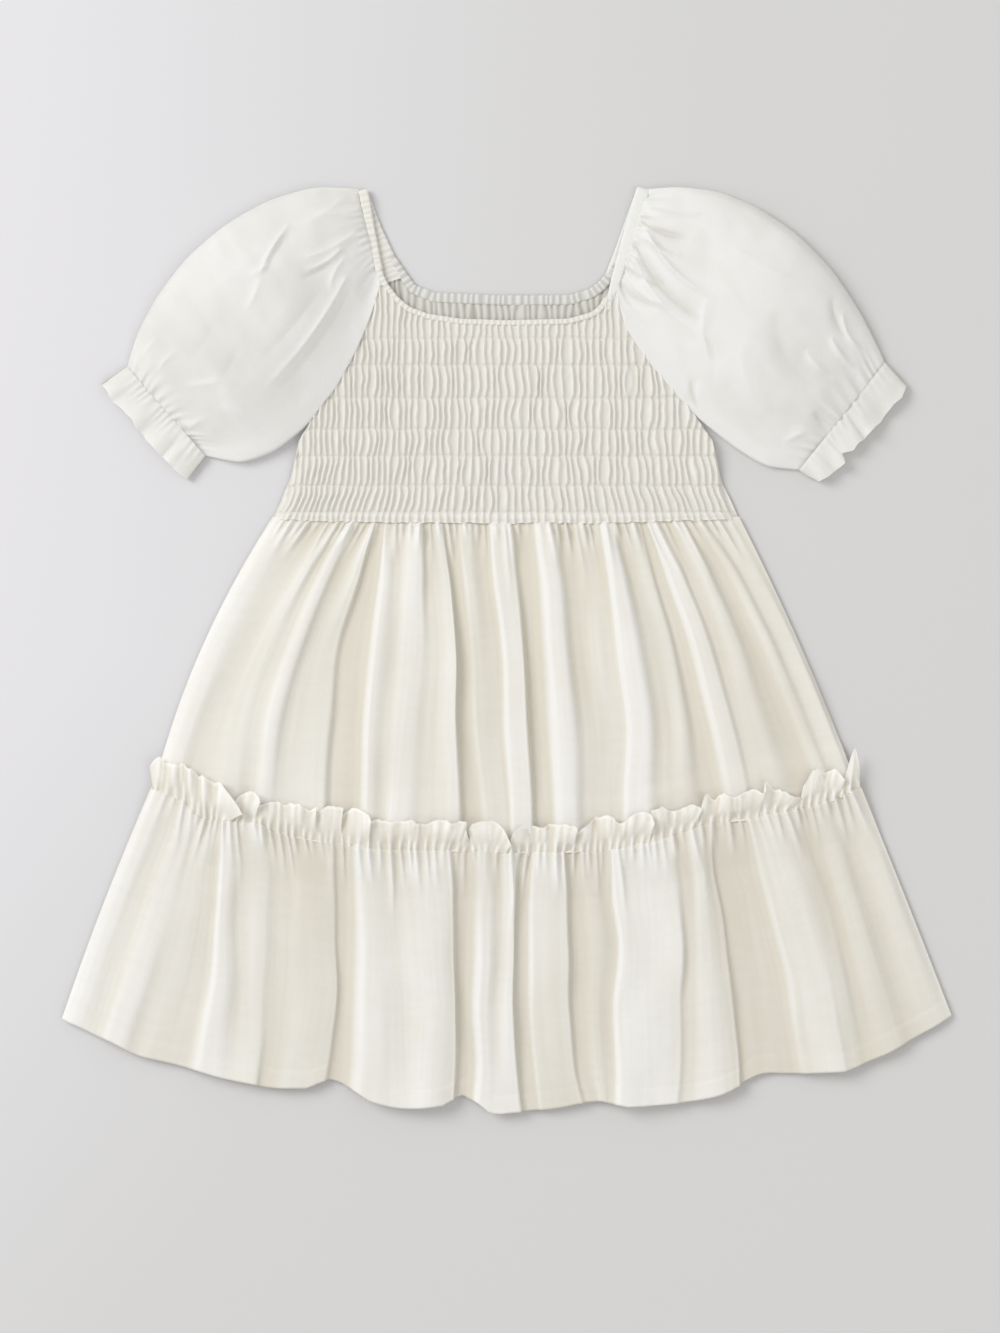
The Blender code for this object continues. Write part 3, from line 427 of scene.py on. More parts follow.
# Skirt and tier
def back_height(x, y):
    """Height of the skirt's and the tier's back, which lie in low arches."""
    x, y = np.asarray(x, float), np.asarray(y, float)
    spread = 1.0 + (WAIST_Y - y) / 300.0
    arch = np.sin(x / (14.0 * spread)) ** 2
    down = np.clip((80 - y) / 60.0, 0, 1)
    reach = 1 - np.abs(x) / (150 + (WAIST_Y - y) * 0.42)
    above = y - height_on(TIER_SEAM, x)
    lift = np.where(
        above > 0, HEADING_LIFT * np.clip((2.6 * HEADING_BACK - above) / HEADING_BACK, 0, 1), 0.0
    )
    down = down * np.where(
        above > 0,
        np.clip((above - HEADING_BACK) / HEADING_BACK, 0, 1),
        np.clip(-above / HEADING_BACK, 0, 1),
    )
    return CLOTH / 2 + lift + BACK_WAVE * arch * down * np.clip(reach * 6, 0, 1)


def front_height(x, y, rise):
    """Height of a front sheet whose folds stand by rise over the back."""
    below = height_on(TIER_SEAM, x) - y
    on_top = np.where(below > 0, 2 * HEADING_LIFT * np.clip(1 - below / 30.0, 0, 1), 0.0)
    return back_height(x, y) + CLOTH + LAYER + on_top + rise


def gathers(position, down, span, pitch, seed, high, reach_low, reach_high):
    """Small ridges that leave a gathered seam and die out, uneven in height and reach."""
    source = np.random.default_rng(seed)
    z = np.zeros(np.broadcast(position, down).shape)
    place = span[0] + pitch * 0.5
    while place < span[1] - pitch * 0.4:
        # gathered closely in some places, and hardly at all in others
        slow = 0.78 + 0.34 * math.sin(place / 17.0 + seed) * math.sin(place / 7.9 + 2 * seed)
        tall = high * source.uniform(0.5, 1.15) * slow
        reach = source.uniform(reach_low, reach_high) * (1.0 if source.random() < 0.8 else 1.8)
        wide = pitch * source.uniform(0.16, 0.27)
        slant = source.uniform(-0.06, 0.06)
        width = wide * (1 + 1.3 * np.clip(down / reach, 0, 1.5))
        rise = smoothstep(down / 5.0 + 0.45) * (1 - smoothstep(down / reach))
        z += tall * rise * np.exp(-(((position - place) - slant * down) / width) ** 2)
        place += pitch * source.uniform(0.66, 1.38)
    return z


def under_tier(v):
    """Share of the skirt's fold heights left near the tier's seam, down its length."""
    return 1 - 0.65 * smoothstep((v - 0.93) / 0.07)


def drawn_in(z, tallest, down, amount):
    """Fold heights near a gathered seam, where the pleats start narrow and low."""
    return tallest * np.maximum(z / tallest, 0.0) ** (1 + amount * np.exp(-down / 17.0))


def fold_lines(table, v):
    """Place and height of every fold line, at share v of the way down."""
    x_top, x_mid, x_low, z_top, z_mid, z_low = table.T
    return through(x_top, x_mid, x_low, v), through(z_top, z_mid, z_low, v)


def pleat_edges(share, index, table, seed):
    """Shares between fold lines, bent so that a high pleat's edge falls steeply."""
    source = np.random.default_rng(seed + 9)
    fall = np.abs(np.diff(table[:, 4]))[index]
    crisp = smoothstep((fall - 2.0) / 3.0)
    centre = source.uniform(0.36, 0.64, len(table))[index]
    flank = source.uniform(0.34, 0.70, len(table))[index]
    edge_fall = smoothstep((share - centre) / flank + 0.5)
    steep = share + 0.75 * crisp * (edge_fall - share)
    # the cloth rolls round at the sides, with no pleat's edge along them
    steep = np.where(index == 0, 1 - (1 - share) ** 2, steep)
    return np.where(index == len(table) - 2, share ** 2, steep)


def fold_tone(x, z, x_even, down, tallest, small, gather, hem, seed):
    """Tone of a folded sheet: painted light where pleats stand and along their edges, painted
    shade in valleys.
    """
    high, longest = gather[1], gather[3]
    across = x_even[None, :] + 0 * down
    bend = np.gradient(np.gradient(z, axis=1), axis=1) / np.gradient(x, axis=1) ** 2
    side = np.minimum(x_even - x_even[0], x_even[-1] - x_even)[None, :]
    # painted light and shade by the fold's height and its bend: pale on crests, dark in troughs
    painted_light_and_tone = 0.12 + 0.76 * smoothstep(z / tallest) ** 1.6 - 0.9 * np.clip(bend, -0.40, 0.32)
    if hem:
        painted_light_and_tone = 0.46 + 0.90 * (painted_light_and_tone - 0.5)
    # painted light at the sides, where the cloth rolls round
    painted_light_and_tone = np.maximum(painted_light_and_tone, 0.85 * (1 - smoothstep((side - 3) / 26)))
    # painted highlights on the small gathers, painted shade between them near the seam
    gap = 1 - np.minimum(1, small / (0.42 * high))
    painted_light_and_tone = painted_light_and_tone + 0.60 * small / high - 0.42 * gap * np.exp(-down / 0.6 / longest)
    painted_light_and_tone = painted_light_and_tone + 0.12 * noise(across, down, seed + 5, 22, 60)
    # painted light: paler towards the window side, dimmer towards the right and in a band left of
    # the middle
    west, east = (150, 125) if hem else (100, 80)
    painted_light_and_tone = painted_light_and_tone + 0.36 * smoothstep((-x - west) / 65) * (1 - painted_light_and_tone)
    painted_light_and_tone = painted_light_and_tone * (1 - 0.31 * smoothstep((x - east) / 50)) - 0.07 * np.exp(-((x + 30) / 65) ** 2)
    # faint threads down the cloth
    painted_light_and_tone = painted_light_and_tone + 0.09 * noise(across, down, seed + 6, 1.9, 46)
    return painted_light_and_tone + 0.05 * noise(across, down, seed + 9, 9.0, 2.2)


def folded_sheet(name, folds, top_line, low_line, columns, rows, material, gather, seed,
                 hem=False):
    """A gathered panel whose folds follow the table, with small gathers at its seam."""
    table = np.asarray(folds, float)
    knots = np.arange(len(table))
    x_even = np.linspace(table[0, 1], table[-1, 1], columns)
    t = np.interp(x_even, table[:, 1], knots)
    index = np.minimum(np.floor(t).astype(int), len(table) - 2)
    share = t - index
    v = np.linspace(0, 1, rows)[:, None]
    xk, zk = fold_lines(table, v)
    # fold lines waver a little and pleats swell and sink down their length
    knot = knots[None, :] + 0 * v
    length = 190 * v + 0 * knot
    inner = np.minimum(1, np.minimum(knots, len(knots) - 1 - knots) / 2.0)[None, :]
    waver = (2.3 if hem else 1.9) * inner * np.minimum(1, 5 * v)
    xk = xk + waver * noise(knot, length, seed + 7, 2.2, 44)
    zk = zk * (1 + 0.22 * noise(knot, length, seed + 8, 1.3, 48))
    x = xk[:, index] * (1 - share) + xk[:, index + 1] * share
    z = monotone(xk, zk, index, pleat_edges(share, index, table, seed))
    z = z * (TIER_HEIGHT if hem else 1.0)
    x_top = table[index, 0] * (1 - share) + table[index + 1, 0] * share
    x_low = table[index, 2] * (1 - share) + table[index + 1, 2] * share
    y_top, y_low = height_on(top_line, x_top), height_on(low_line, x_low)
    if hem:
        # rounded where two stretches of the hem meet
        around = np.mean([height_on(low_line, x_low + step) for step in (-6, -3, 0, 3, 6)], axis=0)
        from_end = np.minimum(x_low - x_low[0], x_low[-1] - x_low)
        y_low = y_low + smoothstep(from_end / 9) * (around - y_low)
    y = (1 - v) * y_top + v * y_low
    down = v * (y_top - y_low)
    across = x_even[None, :] + 0 * v
    edge = smoothstep(np.minimum(t, len(table) - 1 - t) / 1.2)[None, :]
    tallest = through(*TALLEST, v) * (0.9 if hem else 1.0)
    z = drawn_in(z, tallest, down, 0.6 if hem else 1.1)
    pitch, high, shortest, longest = gather
    small = gathers(
        x_top[None, :] + 0 * v, down, (table[0, 0], table[-1, 0]), pitch, seed, high,
        shortest, longest,
    )
    painted_light_and_tone = fold_tone(x, z, x_even, down, tallest, small, gather, hem, seed)
    z = z + edge * small
    z = z + edge * 0.10 * noise(across, down, seed + 1, 5.0, 60)
    z = z + edge * 0.50 * noise(across + 0.35 * down, down, seed + 3, 26, 30)
    z = np.maximum(z, 0.0)
    if not hem:
        # the skirt goes in under the bodice, and under the tier
        z = z * (0.30 + 0.70 * smoothstep(down / 6.0))
        z = z * under_tier(v)
    height = front_height(x, y, z)
    x = x + FOLD_LEAN * z * edge * np.minimum(1, v * 6)
    if hem:
        # the turned-up edge stands doubled, with its line of stitches drawn in
        from_hem = (1 - v) * (y_top - y_low)
        stitches = np.exp(-((from_hem - HEM_BAND + 0.4) / 0.7) ** 2)
        height = height + 0.35 * smoothstep((HEM_BAND - from_hem) / 1.2) - 0.30 * stitches
    grid = np.stack([x, y, height], axis=2)
    if hem:
        lip = [grid[-1] + [0, 0.1, -0.5], grid[-2] + [0, 0, -0.9], grid[-9] + [0, 0, -1.0]]
        grid = np.concatenate([grid, np.array(lip)])
        painted_light_and_tone = np.concatenate([painted_light_and_tone, painted_light_and_tone[-1:], painted_light_and_tone[-1:], painted_light_and_tone[-1:]])
    return sheet_mesh(name, grid, material, painted_light_and_tone)


def flat_back(name, folds, top_line, low_line, columns, rows, bow, inset, material, seed):
    """A back panel that lies on the table in low arches."""
    table = np.asarray(folds, float)
    u = np.linspace(0, 1, columns)[None, :]
    v = np.linspace(0, 1, rows)[:, None]
    x_top = table[0, 0] + 0.4 + (table[-1, 0] - table[0, 0] - 0.8) * u
    x_low = table[0, 2] + inset + (table[-1, 2] - table[0, 2] - 2 * inset) * u
    x = (1 - v) * x_top + v * x_low + bow * 4 * v * (1 - v) * (2 * u - 1)
    y = (1 - v) * height_on(top_line, x_top) + v * height_on(low_line, x_low)
    z = back_height(x, y) + 0.12 * noise(x, y, seed, 8, 50)
    return sheet_mesh(name, np.stack([x, y, z], axis=2), material)


def moved(line, dy):
    """A plan line moved up the dress by dy."""
    return [(x, y + dy) for x, y in line]


def skirt_surface(x, y):
    """Height of the skirt front at plan points, read between its fold lines."""
    table = np.asarray(SKIRT_FOLDS, float)
    waist, seam = height_on(WAIST, x), height_on(TIER_SEAM, x)
    v = np.clip((waist - y) / (waist - seam), 0, 1)
    rise = np.empty_like(x)
    for i in np.ndindex(x.shape):
        rise[i] = np.interp(x[i], *fold_lines(table, v[i]))
    return front_height(x, y, rise * under_tier(v))


def heading_sheet(material):
    """The tier's free top edge: a ruffle whose edge rises, turns over and dips."""
    columns, rows = 1000, 20
    curve = smooth_curve(np.asarray(HEADING_EDGE, float), columns)
    x0, x_top, y_top, lift = curve.T
    x0 = np.maximum.accumulate(x0)
    y0 = height_on(TIER_SEAM, x0) - 1.8 + 1.2 * wander(x0, 28, 4.6)
    inner = smoothstep((HEADING_END - 2 - np.abs(x0)) / 6.0)
    ragged = 1.3 * wander(x0, 29, 3.1) + 0.6 * wander(x0, 30, 1.4)
    y_top = y_top + inner * ragged
    lift = lift + inner * 0.9 * wander(x0, 35, 2.6)
    x_top = x_top + inner * 0.9 * wander(x0, 36, 3.0)
    pitch, high, _, _ = TIER_GATHER
    span = (-HEADING_END, HEADING_END)
    rise = np.linspace(0, 1, rows)[:, None]
    x = x0 + (x_top - x0) * rise ** 1.3
    y = y0 + (y_top - y0) * rise
    ridge = gathers(x0, 3.0 + 17 * rise + 0 * x0, span, pitch, TIER_SEED, high, 9, 20)
    roll = 0.9 * np.sin(np.pi * np.minimum(1.0, rise * 1.15))
    z = 0.1 + lift * rise ** 1.6 + 0.8 * ridge * (1 - rise) + roll
    z = z + 0.25 * noise(x0 + 0 * rise, 20 * rise + 0 * x0, 27, 5, 5)
    grid = np.stack([x, y, z], axis=2)
    small = gathers(x0, 4.0 + 0 * x0, span, pitch, TIER_SEED, high, 11, 32)
    tier = np.asarray(TIER_FOLDS, float)
    own = TIER_HEIGHT * np.interp(x0, tier[:, 0], tier[:, 3])
    own = drawn_in(own, 0.9 * TALLEST[0], 2.6, 0.6)
    sewn = front_height(x0, height_on(TIER_SEAM, x0) - 1.0, own) + small - 0.15
    base = skirt_surface(grid[..., 0], np.maximum(grid[..., 1], y0[None, :]))
    # the frill spans the skirt's narrow valleys instead of sinking into them
    smooth = base.copy()
    for _ in range(40):
        smooth[:, 1:-1] = np.maximum(
            base[:, 1:-1], (smooth[:, :-2] + 2 * smooth[:, 1:-1] + smooth[:, 2:]) / 4
        )
    laid = smooth + 0.3 + 1.1 * smoothstep(rise * 4) + grid[..., 2]
    # it leaves the tier at the tier's own height, so the two read as one cloth
    leave = smoothstep(rise / 0.45)
    sunk = 0.7 * (1 - smoothstep(rise / 0.16))
    clear = smooth + 0.3 - 6.0 * (1 - smoothstep(rise / 0.22))
    grid[..., 2] = np.maximum(sewn[None, :] * (1 - leave) + laid * leave - sunk, clear)
    wave = np.gradient(np.gradient(grid[..., 2], axis=1), axis=1)
    # painted light and shade: paler where the ruffle stands proud and on the gathers, dark in its
    # curves and near the seam, with a painted highlight along its free edge
    painted_light_and_tone = 0.40 + 0.34 * smoothstep(lift / 7)[None, :] * rise - 6.0 * np.clip(wave, -0.06, 0.06)
    painted_light_and_tone = painted_light_and_tone + 0.34 * (small / high)[None, :] * (1 - 0.7 * rise) - 0.10 * (1 - rise)
    painted_light_and_tone = painted_light_and_tone + 0.60 * smoothstep((rise - 0.88) / 0.1)
    return sheet_mesh("tier_heading_front_cloth", grid, material, painted_light_and_tone)


# Bodice
def pleat_half(y):
    """Half the width over which the pleats spread, at height y."""
    return np.interp(y, [WAIST_Y, 100, 120, 160, 230], [BODICE_HALF, 142, 138.5, 137, 137])


def smocking(x, y, seed):
    """Relief of cloth gathered on rows of elastic: rounded pleats, pinched at each row."""
    rows = np.array([PLEATS_TOP, *ELASTIC_ROWS, PLEATS_LOW], float)
    u = x / pleat_half(y)
    left = np.clip((-0.1 - u) / 0.9, 0, 1)
    # finer and straighter pleats on the left, lens-shaped cells in the upper middle
    s = (0.5 + 0.5 * (u - 0.15 * left ** 2)) * PLEAT_LINES
    s = s + 0.28 * noise(s, y, seed + 40, 2.3, 14.0) + 0.10 * noise(s, y, seed + 41, 0.8, 5.0)
    z = np.zeros_like(x)
    for j in range(len(rows) - 1):
        top, low = rows[j], rows[j + 1]
        w = np.clip((top - y) / (top - low), 0, 1)
        swell = np.sin(np.pi * w) ** 0.6
        lens = CELL_SHIFT[j] * (1 - 0.6 * left)
        shift = lens * noise(s, np.full_like(s, 7.0 * j), seed + j, 1.25, 3.0)
        crest = (0.5 + 0.5 * np.cos(2 * np.pi * (s + shift * swell))) ** 1.9
        size = 1.0 + 0.40 * noise(s, np.full_like(s, 3.0 * j), seed + 20 + j, 0.9, 3.0)
        weak = 0.7 if j == 0 else 1.0
        tall = (1.05 + 0.95 * swell * size * weak) * crest + 0.35 * swell
        if j == len(rows) - 2:
            # the plain strip under the last elastic row
            tall = 0.5 + 0.70 * tall
        z = np.where((y <= top) & (y > low), tall, z)
    for row in ELASTIC_ROWS:
        near = np.exp(-(((y - row) - 0.6 * noise(x, y, seed + 60, 5, 9)) / 0.8) ** 2)
        z -= 0.75 * near * (0.35 + 0.65 * (0.5 + 0.5 * np.cos(2 * np.pi * s)))
    return z


def bodice_sheet(material):
    """The smocked front, from its neckline and raglan edges down to the waist."""
    columns, rows = 560, 165
    # the raglan edges run on a little under the sleeves
    left = [(x - UNDER_SLEEVE, y + 1) for x, y in RAGLAN_LEFT[:0:-1]]
    left = left + [(-84, 229), (-80, 234), (-75, 231), (-70, 223.5)]
    right = [(61, 219), (64.5, 227), (69.5, 231), (74, 222)]
    right = right + [(x + UNDER_SLEEVE, y + 1) for x, y in RAGLAN_RIGHT[1:]]
    left[0], right[-1] = RAGLAN_LEFT[-1], RAGLAN_RIGHT[-1]
    crown = np.array(SIDE_LEFT[::-1] + left + moved(NECK_FRONT, -0.6)[1:-1] + right + SIDE_RIGHT)
    top_x = np.linspace(-BODICE_HALF, BODICE_HALF, columns)
    # columns lean with the pleats: find where each meets the upper outline
    share = top_x / BODICE_HALF
    y_hi, above = np.full(columns, float(WAIST_Y)), np.full(columns, 235.0)
    for _ in range(30):
        mid = (y_hi + above) / 2
        inside = mid < np.interp(share * pleat_half(mid), crown[:, 0], crown[:, 1])
        y_hi, above = np.where(inside, mid, y_hi), np.where(inside, above, mid)
    v = np.linspace(0, 1, rows)[:, None]
    y_lo = height_on(WAIST, top_x) - 0.3 + 0.6 * wander(top_x, 73, 2.4)
    y_lo = y_lo + 0.5 * wander(top_x, 74, 11.0)
    y = y_hi[None, :] * (1 - v) + y_lo[None, :] * v
    x = share[None, :] * pleat_half(y)
    relief = smocking(x, y, 100)
    # the cloth rolls down at its edges and swells softly in the middle
    free = 1 - smoothstep((y - 112) / 12)
    from_side = np.minimum(1, (1 - np.abs(share))[None, :] * BODICE_HALF / 9.0)
    from_side = 1 - (1 - from_side) * free
    from_top = np.minimum(1, (y_hi[None, :] - y) / 6.0)
    edge = smoothstep(np.minimum(from_side, from_top + 0.55))
    z = FRONT_BASE + 0.7 + (0.25 + 0.75 * edge) * relief + 0.9 * edge
    z = z - 2.0 * (1 - smoothstep(from_side))
    z = z - 1.2 * (1 - smoothstep((y - y_lo[None, :]) / 4.0))
    z = z + 0.7 * noise(x, y, 71, 40, 30) * edge
    x = x + 0.25 * noise(x, y, 72, 6, 8)
    # painted light and shade: pale on the pleats' crests and dark between them, darker towards the
    # upper left, evened out on the plain strip under the last elastic row
    painted_light_and_tone = 0.05 + 0.85 * smoothstep(relief / 2.6)
    painted_light_and_tone = painted_light_and_tone - 0.22 * smoothstep((-x - 30) / 90) * smoothstep((y - 130) / 50)
    painted_light_and_tone = painted_light_and_tone + 0.45 * smoothstep((87.4 - y) / 1.6) * (0.75 - painted_light_and_tone)
    return sheet_mesh("bodice_front_cloth", np.stack([x, y, z], axis=2), material, painted_light_and_tone)


def bodice_back_sheet(material):
    """The back, which shows only as the puckered strip inside the neck."""
    columns, rows = 300, 60
    neck = [(-88, 214), (-84, 240), (-76, 246), (-67, 243), (-61, 232), (-46, 225.5), (-2, 224),
            (41, 225), (54, 230), (62, 238), (68, 246), (73, 240), (78, 210)]
    crown = np.array(SIDE_LEFT[::-1] + RAGLAN_LEFT[::-1][:-1] + neck + RAGLAN_RIGHT[1:]
                     + SIDE_RIGHT)
    x_lo = np.linspace(-BODICE_HALF, BODICE_HALF, columns)
    share = x_lo / BODICE_HALF
    y_hi = np.interp(x_lo, crown[:, 0], crown[:, 1])
    v = np.linspace(0, 1, rows)[:, None] ** 1.6
    y_lo = height_on(WAIST, x_lo) + 0.3
    y = y_hi[None, :] * (1 - v) + y_lo[None, :] * v
    x = x_lo[None, :] + 0 * v
    crest = np.abs(np.cos(np.pi * (x / 4.6 + 0.4 * noise(x, y, 81, 5, 12)))) ** 0.8
    near = smoothstep((y - 190) / 8.0)
    z = 0.9 + 0.9 * crest * near + 0.2 * noise(x, y, 82, 9, 9)
    z = z - 0.7 * near * smoothstep((y - 224) / 5.0)
    z = z - 0.5 * (1 - smoothstep((1 - np.abs(share))[None, :] * BODICE_HALF / 8.0))
    # painted light on the crests of its puckers, painted shade between them
    return sheet_mesh("bodice_back_cloth", np.stack([x, y, z], axis=2), material, crest ** 1.4)


# Casings
def band(name, path, width, thick, pucker, pitch, seed, material):
    """An elastic casing: a flat band, puckered along its length, swept on a path."""
    length = np.linalg.norm(np.diff(path, axis=0), axis=1).sum()
    count = int(length / 0.55)
    share = np.linspace(0, length, count)
    p = softened(along(path, share / length), 8)
    width = np.interp(share / length, np.linspace(0, 1, len(width)), width)
    ahead = np.gradient(p, axis=0)
    ahead /= np.linalg.norm(ahead, axis=1, keepdims=True)
    flat = np.stack([ahead[:, 1], -ahead[:, 0], np.zeros(count)], axis=1)
    for i in range(count):
        size = np.linalg.norm(flat[i])
        if size < 0.25 and i:
            flat[i] = flat[i - 1]
        else:
            flat[i] /= max(size, 1e-6)
        if i and np.dot(flat[i], flat[i - 1]) < 0:
            flat[i] = -flat[i]
    up = np.cross(flat, ahead)
    around = 22
    angle = np.linspace(0, 2 * np.pi, around, endpoint=False)
    wave = np.cos(2 * np.pi * (share / pitch + 0.45 * wander(share, seed, 6)))
    uneven = wander(share, seed + 1, 2.2)
    grid = []
    for a in angle:
        side = np.sign(np.cos(a)) * np.abs(np.cos(a)) ** 0.7
        top = np.sign(np.sin(a)) * np.abs(np.sin(a)) ** 0.8
        # the middle line of stitching is drawn in, the puckers stand between
        draw = 1 - 0.30 * np.exp(-(side / 0.25) ** 2)
        bulge = 1 + pucker * wave * (0.4 + 0.6 * abs(top)) + 0.5 * pucker * uneven
        q = p + flat * (side * width / 2 * (1 + 0.10 * pucker * wave))[:, None]
        q = q + up * (top * thick / 2 * bulge * draw)[:, None]
        grid.append(q)
    grid = np.array(grid).transpose(1, 0, 2)
    grid[..., 2] = np.maximum(grid[..., 2], CASING_FLOOR)
    # painted light on the puckers' crests, painted shade in their troughs
    painted_light_and_tone = 0.60 + 1.1 * pucker * wave[:, None] * np.ones(around)[None, :]
    return sheet_mesh(name, grid, material, painted_light_and_tone, closed=True)


def side_path(front_low, back_low, high):
    """Up the front from one neckline, over the shoulder and down to the other."""
    front, back, top = (np.array(p, float) for p in (front_low, back_low, high))
    path = [(*(front + (top - front) * k / 12), 4.4) for k in range(13)]
    run = (top - front) / np.linalg.norm(top - front)
    for turn in (30, 60, 90, 120, 150):
        a = math.radians(turn)
        path.append((*(top + run * 1.7 * math.sin(a)), 2.8 + 1.6 * math.cos(a)))
    return path + [(*(back + (top - back) * k / 12), 1.3) for k in range(12, -1, -1)]


# Sleeves
def smooth_curve(points, count):
    """Evenly spaced points on a rounded curve through the given ones."""
    pts = [np.asarray(p, float) for p in points]
    pts = [2 * pts[0] - pts[1]] + pts + [2 * pts[-1] - pts[-2]]
    fine = []
    t = np.linspace(0, 1, 10, endpoint=False)[:, None]
    for i in range(1, len(pts) - 2):
        before, a, b, after = pts[i - 1], pts[i], pts[i + 1], pts[i + 2]
        span = np.linalg.norm(b - a)
        slope_a = (b - before) / (np.linalg.norm(a - before) + span) * span
        slope_b = (after - a) / (np.linalg.norm(after - b) + span) * span
        fine.append(hermite(t, a, b, slope_a, slope_b))
    fine = np.concatenate(fine + [pts[-2][None, :]])
    return along(fine, np.linspace(0, 1, count))


def sleeve_marks(row, share, tuck):
    """Points round one section; tuck says how gently the cloth comes down to its seam."""
    fold, inner, seam, height = row[0:2], row[2:4], row[4:6], row[6]
    chord = inner - fold
    length = np.linalg.norm(chord)
    unit = chord / length
    base = CLOTH / 2
    closed = min(1.0, max(0.0, (share - 0.50) / 0.12))
    back_edge = seam - unit * 0.95 * (0.5 + 0.5 * closed) - unit * 0.35
    turn = min(5.0, height * 0.42)
    seam_z = (FRONT_BASE + 2.0) * (1 - closed) + base * closed
    swell_z = min(height * 0.40, 6.8)
    marks = [
        (back_edge, base),
        (back_edge * 0.6 + fold * 0.4, base),
        (back_edge * 0.25 + fold * 0.75, base),
        (fold + unit * turn * 0.7, base),
        (fold, base + turn * 0.75),
    ]
    # over the top of the puff: share of the way from the fold, share of the height
    puff = [(0.05, 0.60), (0.20, 0.88), (0.42, 1), (0.66, 0.86), (0.86, 0.50 - 0.06 * tuck)]
    marks += [(fold + unit * length * way, height * tall) for way, tall in puff]
    marks += [
        (inner - unit * 1.0, max(swell_z * (1 - 0.25 * tuck), seam_z + 1.0)),
        (inner * 0.3 + seam * 0.7, seam_z * 0.5 + swell_z * (0.5 - 0.2 * tuck)),
        (seam - unit * 0.35, seam_z),
    ]
    return [(p[0], p[1], z) for p, z in marks]


def end_ripples(over, away, source, first, count, reach, width, spread, tall):
    """Ridges that start at one end of a sleeve; away is the share of the way from it."""
    spots = np.linspace(first, 1 - first, count) + source.uniform(-0.02, 0.02, count)
    ripple = 0.0
    for spot in spots:
        length = source.uniform(*reach)
        height = source.uniform(*tall)
        fade = (1 - smoothstep(away / length)) * smoothstep(away / 0.03 + 0.6)
        across = (over - spot) / (width * (1 + spread * away))
        ripple = ripple + height * fade * np.exp(-across ** 2)
    return ripple


def puckers(over, count, uneven, seed):
    """A fine wave along elastic, over the upper side of a sleeve."""
    return np.cos(2 * np.pi * (count * over + uneven * wander(over, seed, 0.1)))


def sleeve_sheet(name, table, creases, seed, tuck, tone, material):
    """A puffed sleeve; tuck from 0 to 1 says how strongly its neck end is gathered."""
    columns = np.asarray(table, float)
    stations = np.linspace(0, 1, len(columns))
    around, rings = 280, 176
    fine = np.linspace(0, 1, rings)
    # rounded outlines between the table's stations
    values = np.stack([np.interp(fine, stations, columns[:, c]) for c in range(7)], axis=1)
    values = softened(values, 60)
    grid = np.array([smooth_curve(sleeve_marks(values[i], fine[i], tuck), around)
                     for i in range(rings)])
    over = np.clip((np.arange(around) / (around - 1) - 0.40) / 0.56, 0, 1)[None, :]
    share = fine[:, None]
    top = np.sin(np.pi * over) ** 0.5
    source = np.random.default_rng(seed)
    neck_tall = (0.8 * (0.55 + 0.95 * tuck), 1.7 * (0.55 + 0.95 * tuck))
    ripple = end_ripples(over, share, source, 0.04, 17, (0.10, 0.34), 0.016, 10.0, neck_tall)
    ripple += end_ripples(over, 1 - share, source, 0.05, 15, (0.07, 0.24), 0.018, 13.0, (0.6, 1.4))
    # fine puckers along the casing and along the cuff's elastic
    at_neck = np.exp(-((share - 0.01) / 0.035) ** 2)
    ripple += (0.25 + 0.55 * tuck) * puckers(over, 14, 0.5, seed + 3) * at_neck
    cuff_puckers = puckers(over, 15, 0.9, seed + 4)
    ripple += 0.5 * cuff_puckers * np.exp(-((share - 0.99) / 0.045) ** 2)
    x, y = grid[..., 0], grid[..., 1]
    marks = creased(x, y, creases)
    ripple += (0.8 + 0.8 * tuck) * marks
    ripple += 0.9 * noise(x + y, x - y, seed + 1, 26, 34) + 0.35 * noise(x, y, seed + 2, 9, 12)
    grid[..., 2] += ripple * top * (over > 0) * (over < 1)
    # the first ring runs on under the casing, so that no gap shows
    under = grid[0].copy()
    beyond = grid[0] - grid[3]
    beyond[:, 2] = 0
    under += 2.6 * beyond / np.maximum(np.linalg.norm(beyond, axis=1, keepdims=True), 1e-6)
    under[:, 2] = np.minimum(under[:, 2], 2.7)
    # painted light and shade: pale on ridges and high ground, dark in troughs, with random patches
    # of tone, painted highlights on the cuff's puckers and along the outer fold, and paler along
    # the inner edge
    painted_light_and_tone = tone + (0.22 + 0.14 * tuck) * marks + 0.06 * ripple
    painted_light_and_tone += 0.26 * noise(x + 0.5 * y, y - 0.5 * x, seed + 5, 26, 44)
    painted_light_and_tone += 0.14 * noise(x + 0.6 * y, y - 0.6 * x, seed + 6, 7, 16)
    painted_light_and_tone += 0.10 * cuff_puckers * (share > 0.9) + 0.40 * np.exp(-(over / 0.045) ** 2)
    painted_light_and_tone += 0.30 * np.exp(-((1 - over) / 0.03) ** 2)
    # painted light: the half turned from the light is painted paler on the open sleeve
    painted_light_and_tone += 0.45 * (1 - tuck) * smoothstep((over - 0.45) / 0.4)
    painted_light_and_tone = np.concatenate([painted_light_and_tone[:1], painted_light_and_tone])
    return sheet_mesh(name, np.concatenate([under[None], grid]), material, painted_light_and_tone)


